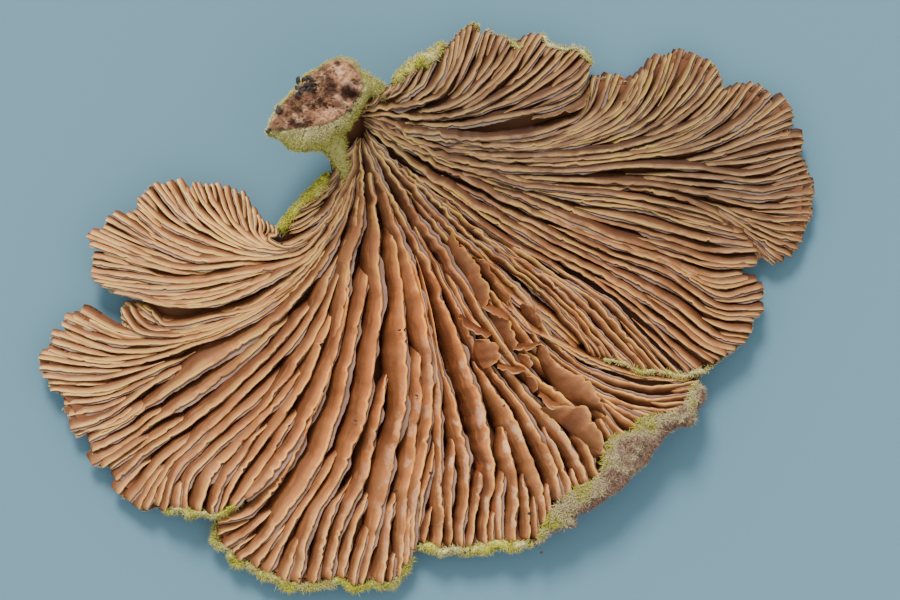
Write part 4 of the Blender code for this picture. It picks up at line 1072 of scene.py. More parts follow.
# Gills in the wedges where two lobes part: path of the free edge, side of its face, face width in
# pixels and height against the gills around, in millimetres.
LOOSE_GILLS = [
    (
        [(402, 160), (416, 169), (438, 185), (458, 199), (477, 213), (500, 228), (522, 242), (546, 254),
         (570, 268)],
        -1, 9, 0.0,
    ),
    (
        [(410, 172), (434, 190), (455, 205), (474, 220), (497, 236), (519, 250), (543, 262), (565, 276)],
        -1, 6, 0.1,
    ),
    ([(470, 234), (490, 254), (512, 274), (535, 292), (556, 310), (572, 324), (584, 340)], -1, 8, 0.05),
    ([(464, 238), (484, 258), (503, 279), (526, 300), (548, 317), (564, 331), (580, 346)], -1, 8, 0.0),
    ([(470, 252), (490, 276), (512, 299), (523, 307), (544, 321), (560, 335), (578, 352)], -1, 9, 0.0),
    (
        [(490, 292), (512, 313), (528, 329), (544, 337), (560, 346), (585, 362), (612, 371), (640, 379),
         (690, 380)],
        -1, 9, 0.0,
    ),
    ([(533, 331), (556, 342), (582, 356), (604, 366), (630, 374), (660, 380), (688, 381)], -1, 7, 0.05),
    (
        [(292, 288), (275, 300), (250, 311), (213, 318), (180, 326), (163, 325), (153, 315), (143, 305)],
        1, 8, -0.1,
    ),
    ([(200, 335), (165, 337), (138, 332), (127, 320), (121, 308)], 1, 7, 0.0),
    ([(180, 330), (152, 330), (140, 322), (133, 313), (130, 305)], 1, 6, 0.0),
    ([(722, 207), (745, 216), (770, 222), (808, 221)], -1, 8, 0.0),
    ([(731, 214), (753, 223), (777, 230), (805, 231)], -1, 8, 0.0),
    ([(738, 221), (758, 230), (778, 238), (802, 242)], -1, 8, 0.0),
    ([(744, 228), (761, 237), (779, 245), (798, 250)], -1, 8, 0.0),
    ([(750, 234), (763, 243), (777, 251), (791, 257)], -1, 8, 0.0),
    ([(755, 239), (764, 248), (773, 256), (782, 262)], -1, 8, 0.0),
]

# Broad loose faces: free edge, buried base, rise of the edge and drop of the base in millimetres.
FLAPS = [
    (
        [(452, 232), (462, 246), (473, 256), (483, 272), (490, 290), (489, 303), (482, 308)],
        [(446, 244), (452, 260), (460, 275), (466, 288), (470, 297), (475, 303), (480, 307)], 0.35, 0.35,
    ),
    (
        [(476, 256), (484, 258), (491, 266), (496, 277), (496, 285)],
        [(469, 259), (474, 266), (480, 274), (486, 281), (491, 286)], 0.4, 0.2,
    ),
    (
        [(494, 283), (503, 285), (509, 292), (511, 300), (508, 305)],
        [(490, 286), (494, 292), (499, 298), (503, 303), (506, 306)], 0.35, 0.2,
    ),
    (
        [(522, 303), (531, 305), (538, 312), (542, 321), (539, 327)],
        [(519, 306), (522, 313), (527, 319), (532, 324), (537, 328)], 0.35, 0.2,
    ),
    (
        [(500, 317), (510, 321), (514, 331), (517, 343), (513, 351)],
        [(486, 311), (489, 321), (494, 332), (501, 342), (509, 350)], 0.35, 0.3,
    ),
    (
        [(482, 308), (490, 315), (499, 319), (508, 320)], [(485, 302), (494, 306), (502, 310), (509, 316)],
        0.5, 0.1,
    ),
    (
        [(513, 349), (522, 351), (531, 350), (540, 345)], [(514, 343), (523, 343), (532, 342), (540, 341)],
        0.5, 0.15,
    ),
    (
        [(546, 346), (552, 354), (556, 363), (564, 368), (573, 371), (580, 374), (586, 377), (593, 386),
         (600, 397), (605, 407), (606, 414)],
        [(533, 345), (535, 356), (541, 368), (548, 380), (556, 391), (564, 399), (573, 404), (583, 407),
         (593, 410), (600, 413), (604, 416)], 0.55, 0.25,
    ),
    (
        [(548, 405), (560, 404), (573, 405), (585, 405), (590, 412), (592, 419), (598, 426), (602, 436),
         (603, 444), (600, 450)],
        [(538, 408), (545, 414), (552, 419), (560, 424), (567, 430), (574, 435), (581, 441), (588, 446),
         (593, 450), (598, 452)], 0.45, 0.3,
    ),
    (
        [(497, 368), (506, 372), (515, 374), (525, 372)], [(497, 361), (506, 364), (515, 366), (524, 366)],
        0.5, 0.1,
    ),
    (
        [(536, 397), (543, 403), (551, 409), (559, 407)], [(540, 391), (547, 396), (553, 401), (560, 403)],
        0.5, 0.1,
    ),
    (
        [(458, 318), (465, 328), (474, 334), (484, 338), (491, 336)],
        [(461, 312), (468, 319), (477, 325), (486, 330), (492, 332)], 0.45, 0.15,
    ),
    (
        [(477, 338), (490, 339), (499, 346), (501, 356), (493, 364), (484, 368)],
        [(472, 340), (472, 348), (474, 356), (477, 362), (480, 366), (483, 369)], 0.4, 0.3,
    ),
    (
        [(519, 352), (528, 354), (534, 361), (530, 367)], [(516, 356), (518, 361), (522, 365), (527, 368)],
        0.4, 0.2,
    ),
    (
        [(527, 373), (535, 378), (538, 387), (533, 392)], [(524, 377), (526, 383), (529, 388), (532, 393)],
        0.4, 0.2,
    ),
    (
        [(531, 121), (545, 119), (560, 116), (575, 112), (585, 106), (590, 92)],
        [(534, 114), (548, 110), (562, 105), (574, 99), (583, 92), (588, 84)], 0.05, 0.25,
    ),
]


def add_loose_gills(build, rng):
    for n, (path, way, width, rise) in enumerate(LOOSE_GILLS):
        total = path_length(path)
        count = int(total / RING_STEP)
        centre = curve(path, count)
        at = np.linspace(0.0, total, count)
        ahead = unit(np.gradient(centre, axis=0))
        face_way = np.stack([-ahead[:, 1], ahead[:, 0]], axis=1) * way
        ends = smooth(0.0, 1.2, at) * np.sqrt(np.clip((total - at + 0.02) / 0.4, 0.0, 1.0))
        body = BODY(centre)
        foot = back_height(centre) + (1.0 - GILL_SHARE) * body
        tall = (GILL_SHARE * body + rise + wander(rng, at, 1.5) * 0.06) * (0.5 + 0.5 * ends)
        face = np.full(count, width * PIXEL_MM) * (0.3 + 0.7 * ends)
        plate = plate_rings(
            centre, face_way, foot, tall, face, 0.0, np.full(count, 0.4), rng, at, np.full(count, 0.7), 0.3
        )
        add_plate(build, plate, at, 900 + n)


def add_flaps(build, rng):
    """Each is a thin bulging sheet from its buried base to its frayed free edge."""
    shares = np.linspace(0.0, 1.0, FLAP_ROWS)
    # Painted shade low on each flap and, darker still, on its underside; painted light at its free edge.
    flap_shading = 0.40 + 0.38 * shares
    flap_shading[-1] += 0.22
    flap_shading = np.concatenate([flap_shading, flap_shading[::-1] * 0.9])
    lilac = np.repeat([0.0, 0.9], FLAP_ROWS)
    for n, (edge, base, rise, drop) in enumerate(FLAPS):
        total = path_length(edge)
        count = max(12, int(total / FLAP_STEP))
        at = np.linspace(0.0, total, count)
        outer, inner = curve(edge, count), curve(base, count)
        reach = np.linalg.norm(outer - inner, axis=1) * PIXEL_MM
        bite = nicks(rng, at, 1.8, 0.10) * 0.22 + np.abs(rng.normal(0.0, 0.02, count))
        pulled = 1.0 - np.minimum(bite / np.maximum(reach, 0.1), 0.6)
        low = back_height(inner) + BODY(inner) - drop
        high = back_height(outer) + BODY(outer) + rise
        swell = 1.0 + 0.5 * wander(rng, at, 0.8)
        top, bottom = [], []
        for share in shares:
            here = share * pulled
            xy = inner + (outer - inner) * here[:, None]
            z = low + (high - low) * here**0.8 + 0.16 * reach * np.sin(math.pi * here) * swell
            z = z + 0.02 * rng.normal(0.0, 1.0, count) * share + 0.05 * wander(rng, at, 0.5) * share
            top.append(world(xy, z))
            bottom.append(world(xy, z - (0.20 - 0.11 * share)))
        rings = np.stack(top + bottom[::-1], axis=1)
        add_plate(build, (rings, np.tile(flap_shading, (count, 1)), np.tile(lilac, (count, 1))), at, 950 + n)


def add_hairs(build, roots, ways, lengths, radius, rng, curl, rings=2, **values):
    """Small closed curved spikes, one at each root, all at once. Everything is in metres."""
    n = len(roots)
    ways = unit(ways)
    helper = np.where(np.abs(ways[:, 2:3]) < 0.8, [[0.0, 0.0, 1.0]], [[1.0, 0.0, 0.0]])
    side = unit(np.cross(ways, helper))
    other = np.cross(ways, side)
    turn = rng.uniform(0, 2 * math.pi, n)[:, None]
    bend = (side * np.cos(turn) + other * np.sin(turn)) * curl * rng.uniform(0.3, 1.3, n)[:, None]
    levels = []
    for level in range(rings):
        share = level / rings
        centre = roots + lengths[:, None] * (ways * share + bend * share**2)
        width = radius * (1.0 - 0.55 * share**1.5)
        for corner in range(3):
            angle = 2 * math.pi * corner / 3
            levels.append(centre + (side * math.cos(angle) + other * math.sin(angle)) * width)
    levels.append(roots + lengths[:, None] * (ways + bend))
    tip = 3 * rings
    shape = [[2, 1, 0], *grid_faces(rings, 3, closed=True)]
    shape += [[tip - 3 + corner, tip - 3 + (corner + 1) % 3, tip] for corner in range(3)]
    per = tip + 1
    faces = [[v + k * per for v in face] for k in range(n) for face in shape]
    shares = np.append(np.repeat(np.arange(rings) / rings, 3), 1.0)
    spread = {key: np.repeat(np.broadcast_to(value, (n,)), per) for key, value in values.items()}
    build.add(np.stack(levels, axis=1).reshape(-1, 3), faces, up=np.tile(shares, n), **spread)


def outward(points):
    """Unit direction out of the cap at each point of a margin that runs clockwise."""
    ahead = unit(np.gradient(points, axis=0))
    return np.stack([ahead[:, 1], -ahead[:, 0]], axis=1)


def to_world_way(xy_way, z_way):
    return unit(np.stack([xy_way[:, 0], -xy_way[:, 1], z_way], axis=1))


# Felt along the margins: lobe, first and last share of its margin, band width in pixels, hair
# length in millimetres, hairs per pixel of margin, green share and how high on the gills it sits.
MARGIN_FELT = [
    ("top", 0.0, 0.24, 5.0, 0.22, 3.5, 0.75, 1.0),
    ("top", 0.24, 0.55, 3.5, 0.18, 4.5, 0.45, 0.8),
    ("top", 0.55, 1.0, 3.0, 0.18, 4.5, 0.6, 0.8),
    ("upper_right", 0.0, 1.0, 1.5, 0.10, 1.7, 0.25, 0.5),
    ("right", 0.12, 0.62, 1.5, 0.11, 2.0, 0.35, 0.5),
    ("right", 0.62, 1.0, 4.0, 0.22, 7.0, 0.55, 0.9),
    ("lower_right", 0.68, 1.0, 6.0, 0.26, 9.0, 0.6, 0.9),
    ("foot", 0.0, 1.0, 3.5, 0.33, 11.0, 0.85, 0.6),
    ("lower_left", 0.0, 0.16, 4.0, 0.30, 9.5, 0.8, 0.9),
    ("lower_left", 0.16, 1.0, 1.5, 0.11, 1.7, 0.2, 0.5),
    ("upper_left", 0.0, 0.1, 5.0, 0.24, 8.0, 0.9, 0.7),
    ("upper_left", 0.1, 1.0, 1.5, 0.10, 1.5, 0.15, 0.5),
    ("neck", 0.0, 1.0, 5.0, 0.24, 4.0, 0.85, 1.0),
]


def add_felt_band(build, lobe, first, last, width, length, density, green, level, rng):
    """Hairs on one stretch of a lobe's margin."""
    total = lobe.margin_run[-1]
    runs = np.arange(first * total, last * total, 1.0)
    line = lobe.margin_place(runs)
    n = int(len(runs) * density)
    pick = rng.uniform(0, len(runs) - 1.001, n)
    k = pick.astype(int)
    u = (pick - k)[:, None]
    way = outward(line)[k]
    depth = 2.0 + width * rng.uniform(0, 1, n) ** 1.3
    xy = line[k] * (1 - u) + line[k + 1] * u - way * depth[:, None]
    back = back_height(xy)
    lift = lobe.lift(np.full(n, lobe.last * (first + last) / 2.0), 1.0)
    low = back + 0.15
    high = back + BODY(xy) * (0.45 + 0.35 * level * smooth(1.0, 5.0, depth)) + 0.7 * lift * level
    z = low + (high - low) * rng.uniform(0.0, 1.0, n) ** 0.45
    reach = np.maximum(high - low, 0.05)
    up = rng.uniform(-0.3, 1.0, n) * (0.4 + 0.6 * (z - low) / reach)
    spread = rng.normal(0, 0.55, (n, 2))
    ways = to_world_way(way * rng.uniform(0.2, 1.0, n)[:, None] + spread, up)
    patch = noise_at(np.column_stack([xy * 0.05, np.full(n, 3.0)]))
    tuft = 0.5 + noise_at(np.column_stack([xy * 0.17, np.full(n, 8.0)]))
    tint = np.clip(green + patch * 0.9 + rng.normal(0, 0.12, n), 0, 1)
    lengths = length * rng.uniform(0.5, 1.15, n) * np.clip(0.5 + 0.9 * tuft, 0.4, 1.5) / 1000.0
    add_hairs(
        build, world(xy, z), ways, lengths, HAIR_RADIUS, rng, 0.7, tint=tint,
        shade=0.5 + 0.5 * (z - low) / reach,
    )


# Soft felt pads on the margins: lobe, first and last share of its margin, width in pixels, green
# share, how far up the gills it reaches and hairs per pixel of margin.
MARGIN_PADS = [
    ("top", 0.0, 0.26, 9.5, 0.7, 1.0, 19),
    ("top", 0.55, 0.66, 4.0, 0.6, 0.9, 10),
    ("top", 0.72, 1.0, 4.0, 0.55, 0.9, 10),
    ("right", 0.64, 0.98, 5.5, 0.5, 0.9, 12),
    ("lower_right", 0.68, 1.0, 9.5, 0.6, 0.9, 16),
    ("foot", 0.02, 0.98, 4.5, 0.8, 0.5, 14),
    ("lower_left", 0.0, 0.15, 6.5, 0.8, 0.9, 14),
    ("neck", 0.02, 1.0, 9.5, 0.95, 1.1, 21),
]
PAD_SECTIONS = 12


def pad_points(lobe, runs, out, width, level, across, rng):
    """Rings of points round one soft pad."""
    mm = (runs - runs[0]) * PIXEL_MM
    ends = smooth(0.0, 0.5, mm) * smooth(0.0, 0.5, mm[-1] - mm)
    half = width / 2.0 * (0.3 + 0.7 * ends) * (1.0 + 0.3 * wander(rng, mm, 1.1))
    centre = lobe.margin_place(runs) - out * (half + 1.2)[:, None]
    low = back_height(centre) + 0.14
    high = back_height(centre) + BODY(centre) * (0.35 + 0.6 * level) + 0.1 * wander(rng, mm, 0.9)
    high = high + level * lobe.lift(np.full(len(runs), across), 1.0)
    high = low + np.maximum(high - low, 0.25) * (0.5 + 0.5 * ends)
    flat = np.stack([out[:, 0], -out[:, 1]], axis=1)
    rings = []
    for j in range(PAD_SECTIONS):
        turn = 2 * math.pi * j / PAD_SECTIONS
        xy = centre + out * (half * math.cos(turn))[:, None]
        ring = world(xy, (low + high) / 2.0 + (high - low) / 2.0 * math.sin(turn))
        lumps = noise_at(ring, 2600.0) * 0.15
        ring[:, :2] += flat * (lumps * math.cos(turn) / 1000.0)[:, None]
        ring[:, 2] += np.maximum(lumps * math.sin(turn), -0.05) / 1000.0
        rings.append(ring)
    return np.stack(rings, axis=1)


def add_pad(build, lobe, first, last, width, green, level, density, rng):
    total = lobe.margin_run[-1]
    runs = np.arange(first * total, last * total, 1.5)
    out = np.stack([soft(way, 3) for way in outward(lobe.margin_place(runs)).T], axis=1)
    points = pad_points(lobe, runs, out, width, level, lobe.last * (first + last) / 2.0, rng)
    sections = PAD_SECTIONS
    tint = np.clip(green + 0.7 * noise_at(points, 900.0), 0.0, 1.0)
    # Painted light: each pad is lighter on top and darker low on its sides.
    lit = np.array([0.55 + 0.3 * math.sin(2 * math.pi * j / sections) for j in range(sections)])
    build.add(
        points.reshape(-1, 3), close_rings(points), up=np.tile(lit, len(runs)), tint=tint.ravel(), shade=0.9
    )
    n = int(len(runs) * 1.5 * density)
    i = rng.integers(0, len(runs) - 1, n)
    j = rng.integers(0, sections, n)
    keep = (np.sin(2 * math.pi * j / sections) > -0.75) | (rng.uniform(0, 1, n) < 0.3)
    i, j = i[keep], j[keep]
    u, v = rng.uniform(0, 1, (2, len(i), 1))
    k = (j + 1) % sections
    near = points[i, j] * (1 - v) + points[i, k] * v
    far = points[i + 1, j] * (1 - v) + points[i + 1, k] * v
    turn = 2 * math.pi * (j + v[:, 0]) / sections
    ways = to_world_way(out[i] * np.cos(turn)[:, None], np.sin(turn))
    ways = ways + rng.normal(0, 0.5, ways.shape)
    lengths = rng.uniform(0.08, 0.24, len(i)) / 1000.0
    tints = tint[i, j] + rng.normal(0, 0.12, len(i))
    add_hairs(
        build, near * (1 - u) + far * u, ways, lengths, HAIR_RADIUS, rng, 0.8,
        tint=np.clip(tints, 0, 1), shade=0.75 + 0.25 * np.sin(turn),
    )


def add_back_felt(build, lobe, rng, count):
    """Short felt under one lobe, its tips on the table or on the curve of the back."""
    across = rng.uniform(0, lobe.last, count)
    along = rng.uniform(0.01, 0.995, count) ** 0.7
    xy = lobe.place(across, along)
    z = back_height(xy) + FELT_MM * 0.75 + 0.05
    away = unit(xy - np.array(HUB))
    ways = to_world_way(away * 0.9 + rng.normal(0, 0.35, (count, 2)), np.full(count, -0.75))
    lengths = (FELT_MM * rng.uniform(0.7, 1.1, count)) / 1000.0
    add_hairs(
        build, world(xy, z), ways, lengths, BACK_HAIR_RADIUS, rng, 0.3, rings=1,
        tint=np.clip(0.15 + rng.normal(0, 0.1, count), 0, 1), shade=0.8,
    )


def rim_section(lobes):
    """Rows of points over the rolled rim, from its inner foot over the top to the back."""
    stations = 150
    foot = curve(RIM_FOOT, stations)
    lower_right = next(lobe for lobe in lobes if lobe.name == "lower_right")
    edge_run = np.linspace(2.0, lower_right.margin_run[20], stations)
    edge = lower_right.margin_place(edge_run)
    edge = edge - outward(edge) * 3.5
    rows = []
    back_in = back_height(foot)
    back_out = back_height(edge)
    top_in = back_in + BODY(foot) - 0.45
    top = back_height((foot + edge) / 2) + BODY((foot + edge) / 2)
    w = np.linspace(0, 1, stations)
    ends = smooth(0.0, 0.1, w) * (1.0 - smooth(0.93, 1.0, w))
    crest = top + 0.22 * ends
    sections = 22
    for j in range(sections):
        q = j / (sections - 1)
        if q < 0.68:
            a = q / 0.68
            xy = foot * (1 - a) + edge * a
            arch = np.sin(math.pi * (0.08 + 0.84 * a)) ** 0.6
            z = top_in * (1 - a) + (back_out + 0.62) * a
            z = z + (crest - z) * arch
        else:
            a = (q - 0.68) / 0.32
            xy = edge - outward(edge) * (7.0 * a * a)
            z = (back_out + 0.62) * (1 - a) + (back_out + 0.22) * a
        rows.append((xy, z))
    return rows


def add_rim(build, felt, lobes, rng):
    """The body of the rolled rim, closed underneath, and the wool over it."""
    rows = rim_section(lobes)
    points = np.stack([world(xy, z) for xy, z in rows], axis=0)
    over, stations = points.shape[:2]
    normal = unit(np.cross(np.gradient(points, axis=0), np.gradient(points, axis=1)))
    if normal[8, 70, 2] < 0:
        normal = -normal
    lumps = np.zeros((over, stations))
    for r in range(over):
        for c in range(stations):
            p = Vector(points[r, c]) * 1000.0
            lumps[r, c] = 0.16 * noise.noise(p * 1.3) + 0.10 * noise.noise(p * 3.1)
    sway = np.sin(np.linspace(0, math.pi, over))[:, None]
    points = points + normal * (lumps * sway)[..., None] / 1000.0
    under = world(rows[0][0], rows[0][1] - 0.5)
    count = over * stations
    last = count - stations
    faces = grid_faces(over, stations)
    for c in range(stations - 1):
        faces.append([c + 1, c, count + c, count + c + 1])
        faces.append([last + c, last + c + 1, count + c + 1, count + c])
    faces.append([r * stations for r in range(over)] + [count])
    faces.append([r * stations + stations - 1 for r in range(over - 1, -1, -1)] + [count + stations - 1])
    sizes = [count, stations]
    build.add(
        np.vstack([points.reshape(-1, 3), under]), faces,
        crest=np.repeat([0.6, 0.1], sizes), back=np.repeat([0.7, 0.1], sizes),
    )
    add_rim_wool(felt, points, normal, rng)


def add_rim_wool(felt, points, normal, rng):
    """Patches of cream, brown and green wool over the rim."""
    n = RIM_HAIRS
    over, stations = points.shape[:2]
    r = rng.uniform(0, over - 1.001, n)
    c = rng.uniform(0, stations - 1.001, n)
    ri, ci = r.astype(int), c.astype(int)
    roots = points[ri, ci] * (1 - (c - ci))[:, None] + points[ri, ci + 1] * (c - ci)[:, None]
    roots = roots * (1 - (r - ri))[:, None] + points[ri + 1, ci] * (r - ri)[:, None]
    ways = normal[ri, ci] + rng.normal(0, 0.75, (n, 3))
    share = r / (over - 1)
    tint = 0.30 + 1.6 * noise_at(roots, 900.0) + 0.9 * noise_at(roots, 2600.0)
    tint = tint - 0.75 * smooth(0.40, 0.62, share) * (1 - smooth(0.85, 1.0, share))
    tint = tint + 0.5 * (1 - smooth(0.0, 0.22, share))
    tint = np.clip(tint + rng.normal(0, 0.12, n), -0.6, 1)
    lengths = rng.uniform(0.12, 0.30, n) * (1 - 0.4 * smooth(0.7, 1.0, share)) / 1000.0
    add_hairs(felt, roots, ways, lengths, HAIR_RADIUS, rng, 0.9, tint=tint, shade=0.85)


def ray_radius(polygon, centre, angles):
    """Distance from the centre to the polygon in each direction."""
    p = np.array(polygon, float)
    q = np.roll(p, -1, axis=0)
    reach = np.zeros(len(angles))
    for n, angle in enumerate(angles):
        d = np.array([math.cos(angle), math.sin(angle)])
        e = q - p
        w = p - centre
        cross = d[0] * e[:, 1] - d[1] * e[:, 0]
        cross = np.where(np.abs(cross) < 1e-9, 1e-9, cross)
        t = (w[:, 0] * e[:, 1] - w[:, 1] * e[:, 0]) / cross
        s = (w[:, 0] * d[1] - w[:, 1] * d[0]) / cross
        good = (t > 0) & (s >= 0) & (s <= 1)
        reach[n] = t[good].max() if good.any() else 0.0
    return reach


STUB_CENTRE = np.array([318.0, 105.0])
STUB_BODY = STUB_OUTLINE[3:-1] + [(372, 98), (361, 118), (352, 132), (340, 142), (331, 152)]

# The cavity in the torn face: its place and radius in pixels.
CAVITY = (350.5, 96.5, 9.5)


def from_cavity(xy):
    """Distance from the middle of the cavity, as a share of its radius."""
    return np.hypot(xy[:, 0] - CAVITY[0], xy[:, 1] - CAVITY[1]) / CAVITY[2]


def crumbs(x, y):
    """Rough grain of the torn flesh at a place in the plan, about -1 to 1."""
    u, v = 0.8 * x + 0.6 * y, 0.8 * y - 0.6 * x
    broad = noise.noise(Vector((u * 0.09, v * 0.13, 1.4)))
    lumps = 0.5 - 1.6 * abs(noise.noise(Vector((u * 0.21, v * 0.25, 5.3))))
    grain = 0.4 - 1.5 * abs(noise.noise(Vector((x * 0.55, y * 0.51, 9.6))))
    return 0.9 * broad + 0.45 * lumps + 0.3 * grain


def torn_height(xy, grain):
    """The torn face: nearly level, with the lumps, the cavity and the crumbs of the break."""
    z = 5.5 + 0.004 * (315.0 - xy[:, 0]) + 0.003 * (105.0 - xy[:, 1])
    for x, y, lump in TORN_LUMPS:
        z = z + lump * np.exp(-(((xy[:, 0] - x) ** 2 + (xy[:, 1] - y) ** 2) / 64.0))
    far = from_cavity(xy)
    z = z + 0.10 * np.exp(-(((far - 1.15) / 0.3) ** 2)) - 0.42 * (1.0 - smooth(0.35, 1.0, far))
    return np.minimum(z + 0.30 * grain, 5.95)


def stub_rings(angles):
    """Rings from the middle of the torn face down the flank to the underside, wool and painted shade."""
    torn = ray_radius(TORN_EDGE, STUB_CENTRE, angles)
    outer = np.maximum(ray_radius(STUB_BODY, STUB_CENTRE, angles) - 3.0, torn + 1.0)
    way = np.stack([np.cos(angles), np.sin(angles)], axis=1)
    rings, wool, pit_shades = [], [], []

    def ring(reach):
        return STUB_CENTRE + way * reach[:, None]

    for j in range(1, TORN_RINGS + 1):
        share = j / TORN_RINGS
        xy = ring(torn * share)
        grain = np.array([crumbs(a, b) for a, b in xy])
        z = torn_height(xy, grain)
        rings.append(world(xy, z - 0.12 * smooth(0.9, 1.0, share)))
        wool.append(0.0 if share < 0.95 else 0.4)
        # Painted shade: darker where the crumbs sink and in the cavity.
        hollow = 1.0 - smooth(0.6, 1.1, from_cavity(xy))
        pit_shades.append(np.clip(0.5 - grain + 0.3 * hollow, 0.0, 1.0))
    edge_z = z - 0.12
    middle_z = back_height(ring(outer)) + 1.15
    quarter = [j / FLANK_RINGS * math.pi / 2 for j in range(1, FLANK_RINGS + 1)]
    for a in quarter:
        z = edge_z + (middle_z - edge_z) * (1 - math.cos(a))
        rings.append(world(ring(torn + (outer - torn) * math.sin(a)), z))
    for a in quarter:
        xy = ring(outer * (1 - 0.75 * (1 - math.cos(a))))
        rings.append(world(xy, back_height(xy) + 0.10 + 1.05 * (1 - math.sin(a))))
    wool += [1.0] * (2 * FLANK_RINGS)
    pit_shades += [np.zeros(len(angles))] * (2 * FLANK_RINGS)
    return np.stack(rings, axis=0), np.array(wool), np.concatenate(pit_shades)


def add_stub(build, felt, rng):
    """The stub: crumbly torn face, rounded flank and underside, with wool on its flank."""
    turns = STUB_TURNS
    angles = np.linspace(0, 2 * math.pi, turns, endpoint=False)
    points, wool, pit_shades = stub_rings(angles)
    count = len(points)
    radial = np.stack([np.cos(angles), -np.sin(angles), np.zeros(turns)], axis=1)
    bumps = 0.07 * noise_at(points, 2200.0) * (wool >= 1.0)[:, None]
    points = points + radial[None] * bumps[..., None] / 1000.0
    middle = STUB_CENTRE[None]
    top = world(middle, torn_height(middle, np.array([crumbs(*STUB_CENTRE)])))
    bottom = world(middle, back_height(middle) + 0.1)
    total = count * turns
    last = total - turns
    faces = grid_faces(count, turns, closed=True)
    faces += [[c, (c + 1) % turns, total] for c in range(turns)]
    faces += [[last + (c + 1) % turns, last + c, total + 1] for c in range(turns)]
    build.add(
        np.vstack([points.reshape(-1, 3), top, bottom]),
        faces,
        wool=np.append(np.repeat(wool, turns), [0.0, 1.0]),
        pit=np.append(pit_shades, [0.5, 0.0]),
    )
    add_stub_wool(felt, points, angles, rng)


def add_stub_wool(felt, points, angles, rng):
    """Wool on the flank, thick and cream along the lower edge of the torn face."""
    n = STUB_HAIRS
    row = rng.uniform(TORN_RINGS - 2, len(points) - 3, n)
    col = rng.uniform(0, len(angles), n)
    ri = row.astype(int)
    ci = col.astype(int) % len(angles)
    roots = points[ri, ci] * (1 - (row - ri))[:, None] + points[ri + 1, ci] * (row - ri)[:, None]
    theta = angles[ci]
    down = np.clip((row - TORN_RINGS) / 16.0, 0, 1)
    ways = np.stack([np.cos(theta), -np.sin(theta), 0.8 - 1.6 * down], axis=1)
    ways = ways + rng.normal(0, 0.55, (n, 3))
    lower = 0.5 + 0.5 * np.sin(theta)
    keep = rng.uniform(0, 1, n) < 0.12 + 0.88 * np.maximum(lower**2, smooth(0.1, 0.6, down))
    cream = 1.0 - smooth(0.0, 0.22, down)
    tint = 0.80 - 0.65 * cream * lower + 0.12 * down
    tint = np.clip(tint + rng.normal(0, 0.12, n), 0, 1)
    lengths = rng.uniform(0.09, 0.22, n) * (0.7 + 0.4 * lower) / 1000.0
    add_hairs(
        felt, roots[keep], ways[keep], lengths[keep], STUB_HAIR_RADIUS, rng, 0.8,
        tint=tint[keep], shade=(1.0 - 0.5 * down)[keep],
    )


# Fleshy strands on the stub, as rows of (x, y, height, radius in pixels): the neck, and one that
# runs from the stub's right flank to the top lobe.
NECK = [
    (322, 118, 4.2, 20), (330, 138, 3.7, 13), (338, 152, 3.1, 9.5), (345, 166, 2.5, 7), (350, 182, 2.0, 5),
]
FLANK = [(348, 82, 4.2, 12), (362, 85, 3.7, 10), (374, 90, 2.8, 8), (384, 94, 2.2, 6)]


def add_tube(build, felt, route, rng, hairs, green):
    """A soft fleshy strand along a route, with felt on it."""
    rings, turns = STRAND_RINGS, STRAND_TURNS
    path = curve(route, rings)
    centre = world(path[:, :2], path[:, 2])
    ahead = unit(np.gradient(centre, axis=0))
    side = unit(np.cross(ahead, [0.0, 0.0, 1.0]))
    up = np.cross(side, ahead)
    radius = path[:, 3] * PIXEL_MM / 1000.0
    angles = np.linspace(0, 2 * math.pi, turns, endpoint=False)
    spoke = side[:, None] * np.cos(angles)[None, :, None] + up[:, None] * np.sin(angles)[None, :, None]
    rough = [
        [1 + 0.22 * noise.noise(Vector(c) * 1800.0 + Vector(s) * 1.5) for s in row]
        for c, row in zip(centre, spoke)
    ]
    points = centre[:, None] + spoke * (radius[:, None] * np.array(rough))[..., None]
    faces = grid_faces(rings, turns, closed=True)
    faces.append(list(range(turns))[::-1])
    faces.append([(rings - 1) * turns + c for c in range(turns)])
    build.add(points.reshape(-1, 3), faces, wool=1.0)
    row = rng.integers(0, rings, hairs)
    col = rng.integers(0, turns, hairs)
    roots = points[row, col] + rng.normal(0, 0.00005, (hairs, 3))
    ways = spoke[row, col] + ahead[row] * 0.2 + rng.normal(0, 0.6, (hairs, 3))
    lengths = rng.uniform(0.12, 0.26, hairs) / 1000.0
    tint = np.clip(green + rng.normal(0, 0.15, hairs), 0, 1)
    add_hairs(felt, roots, ways, lengths, HAIR_RADIUS, rng, 0.7, tint=tint, shade=0.9)


def add_bit(build, place, size, rng, stretch):
    """One angular crumb of bark or dirt, centred on a place in metres."""
    basis, _ = np.linalg.qr(rng.normal(0, 1, (3, 3)))
    angles = np.linspace(0, 5.2, 6)
    upper = [(math.cos(a), math.sin(a), 0.45) for a in angles]
    lower = [(math.cos(a + 0.5), math.sin(a + 0.5), -0.45) for a in angles]
    raw = np.array([[0, 0, 1.0], *upper, *lower, [0, 0, -1.0]]) * rng.uniform(0.7, 1.2, (14, 1))
    raw = raw * np.array(stretch) @ basis.T
    faces = [[0, 1 + c, 1 + (c + 1) % 6] for c in range(6)]
    faces += [[1 + c, 7 + c, 7 + (c + 1) % 6, 1 + (c + 1) % 6] for c in range(6)]
    faces += [[13, 7 + (c + 1) % 6, 7 + c] for c in range(6)]
    if np.linalg.det(basis) < 0:
        faces = [face[::-1] for face in faces]
    build.add(place + raw * size / 1000.0, faces)


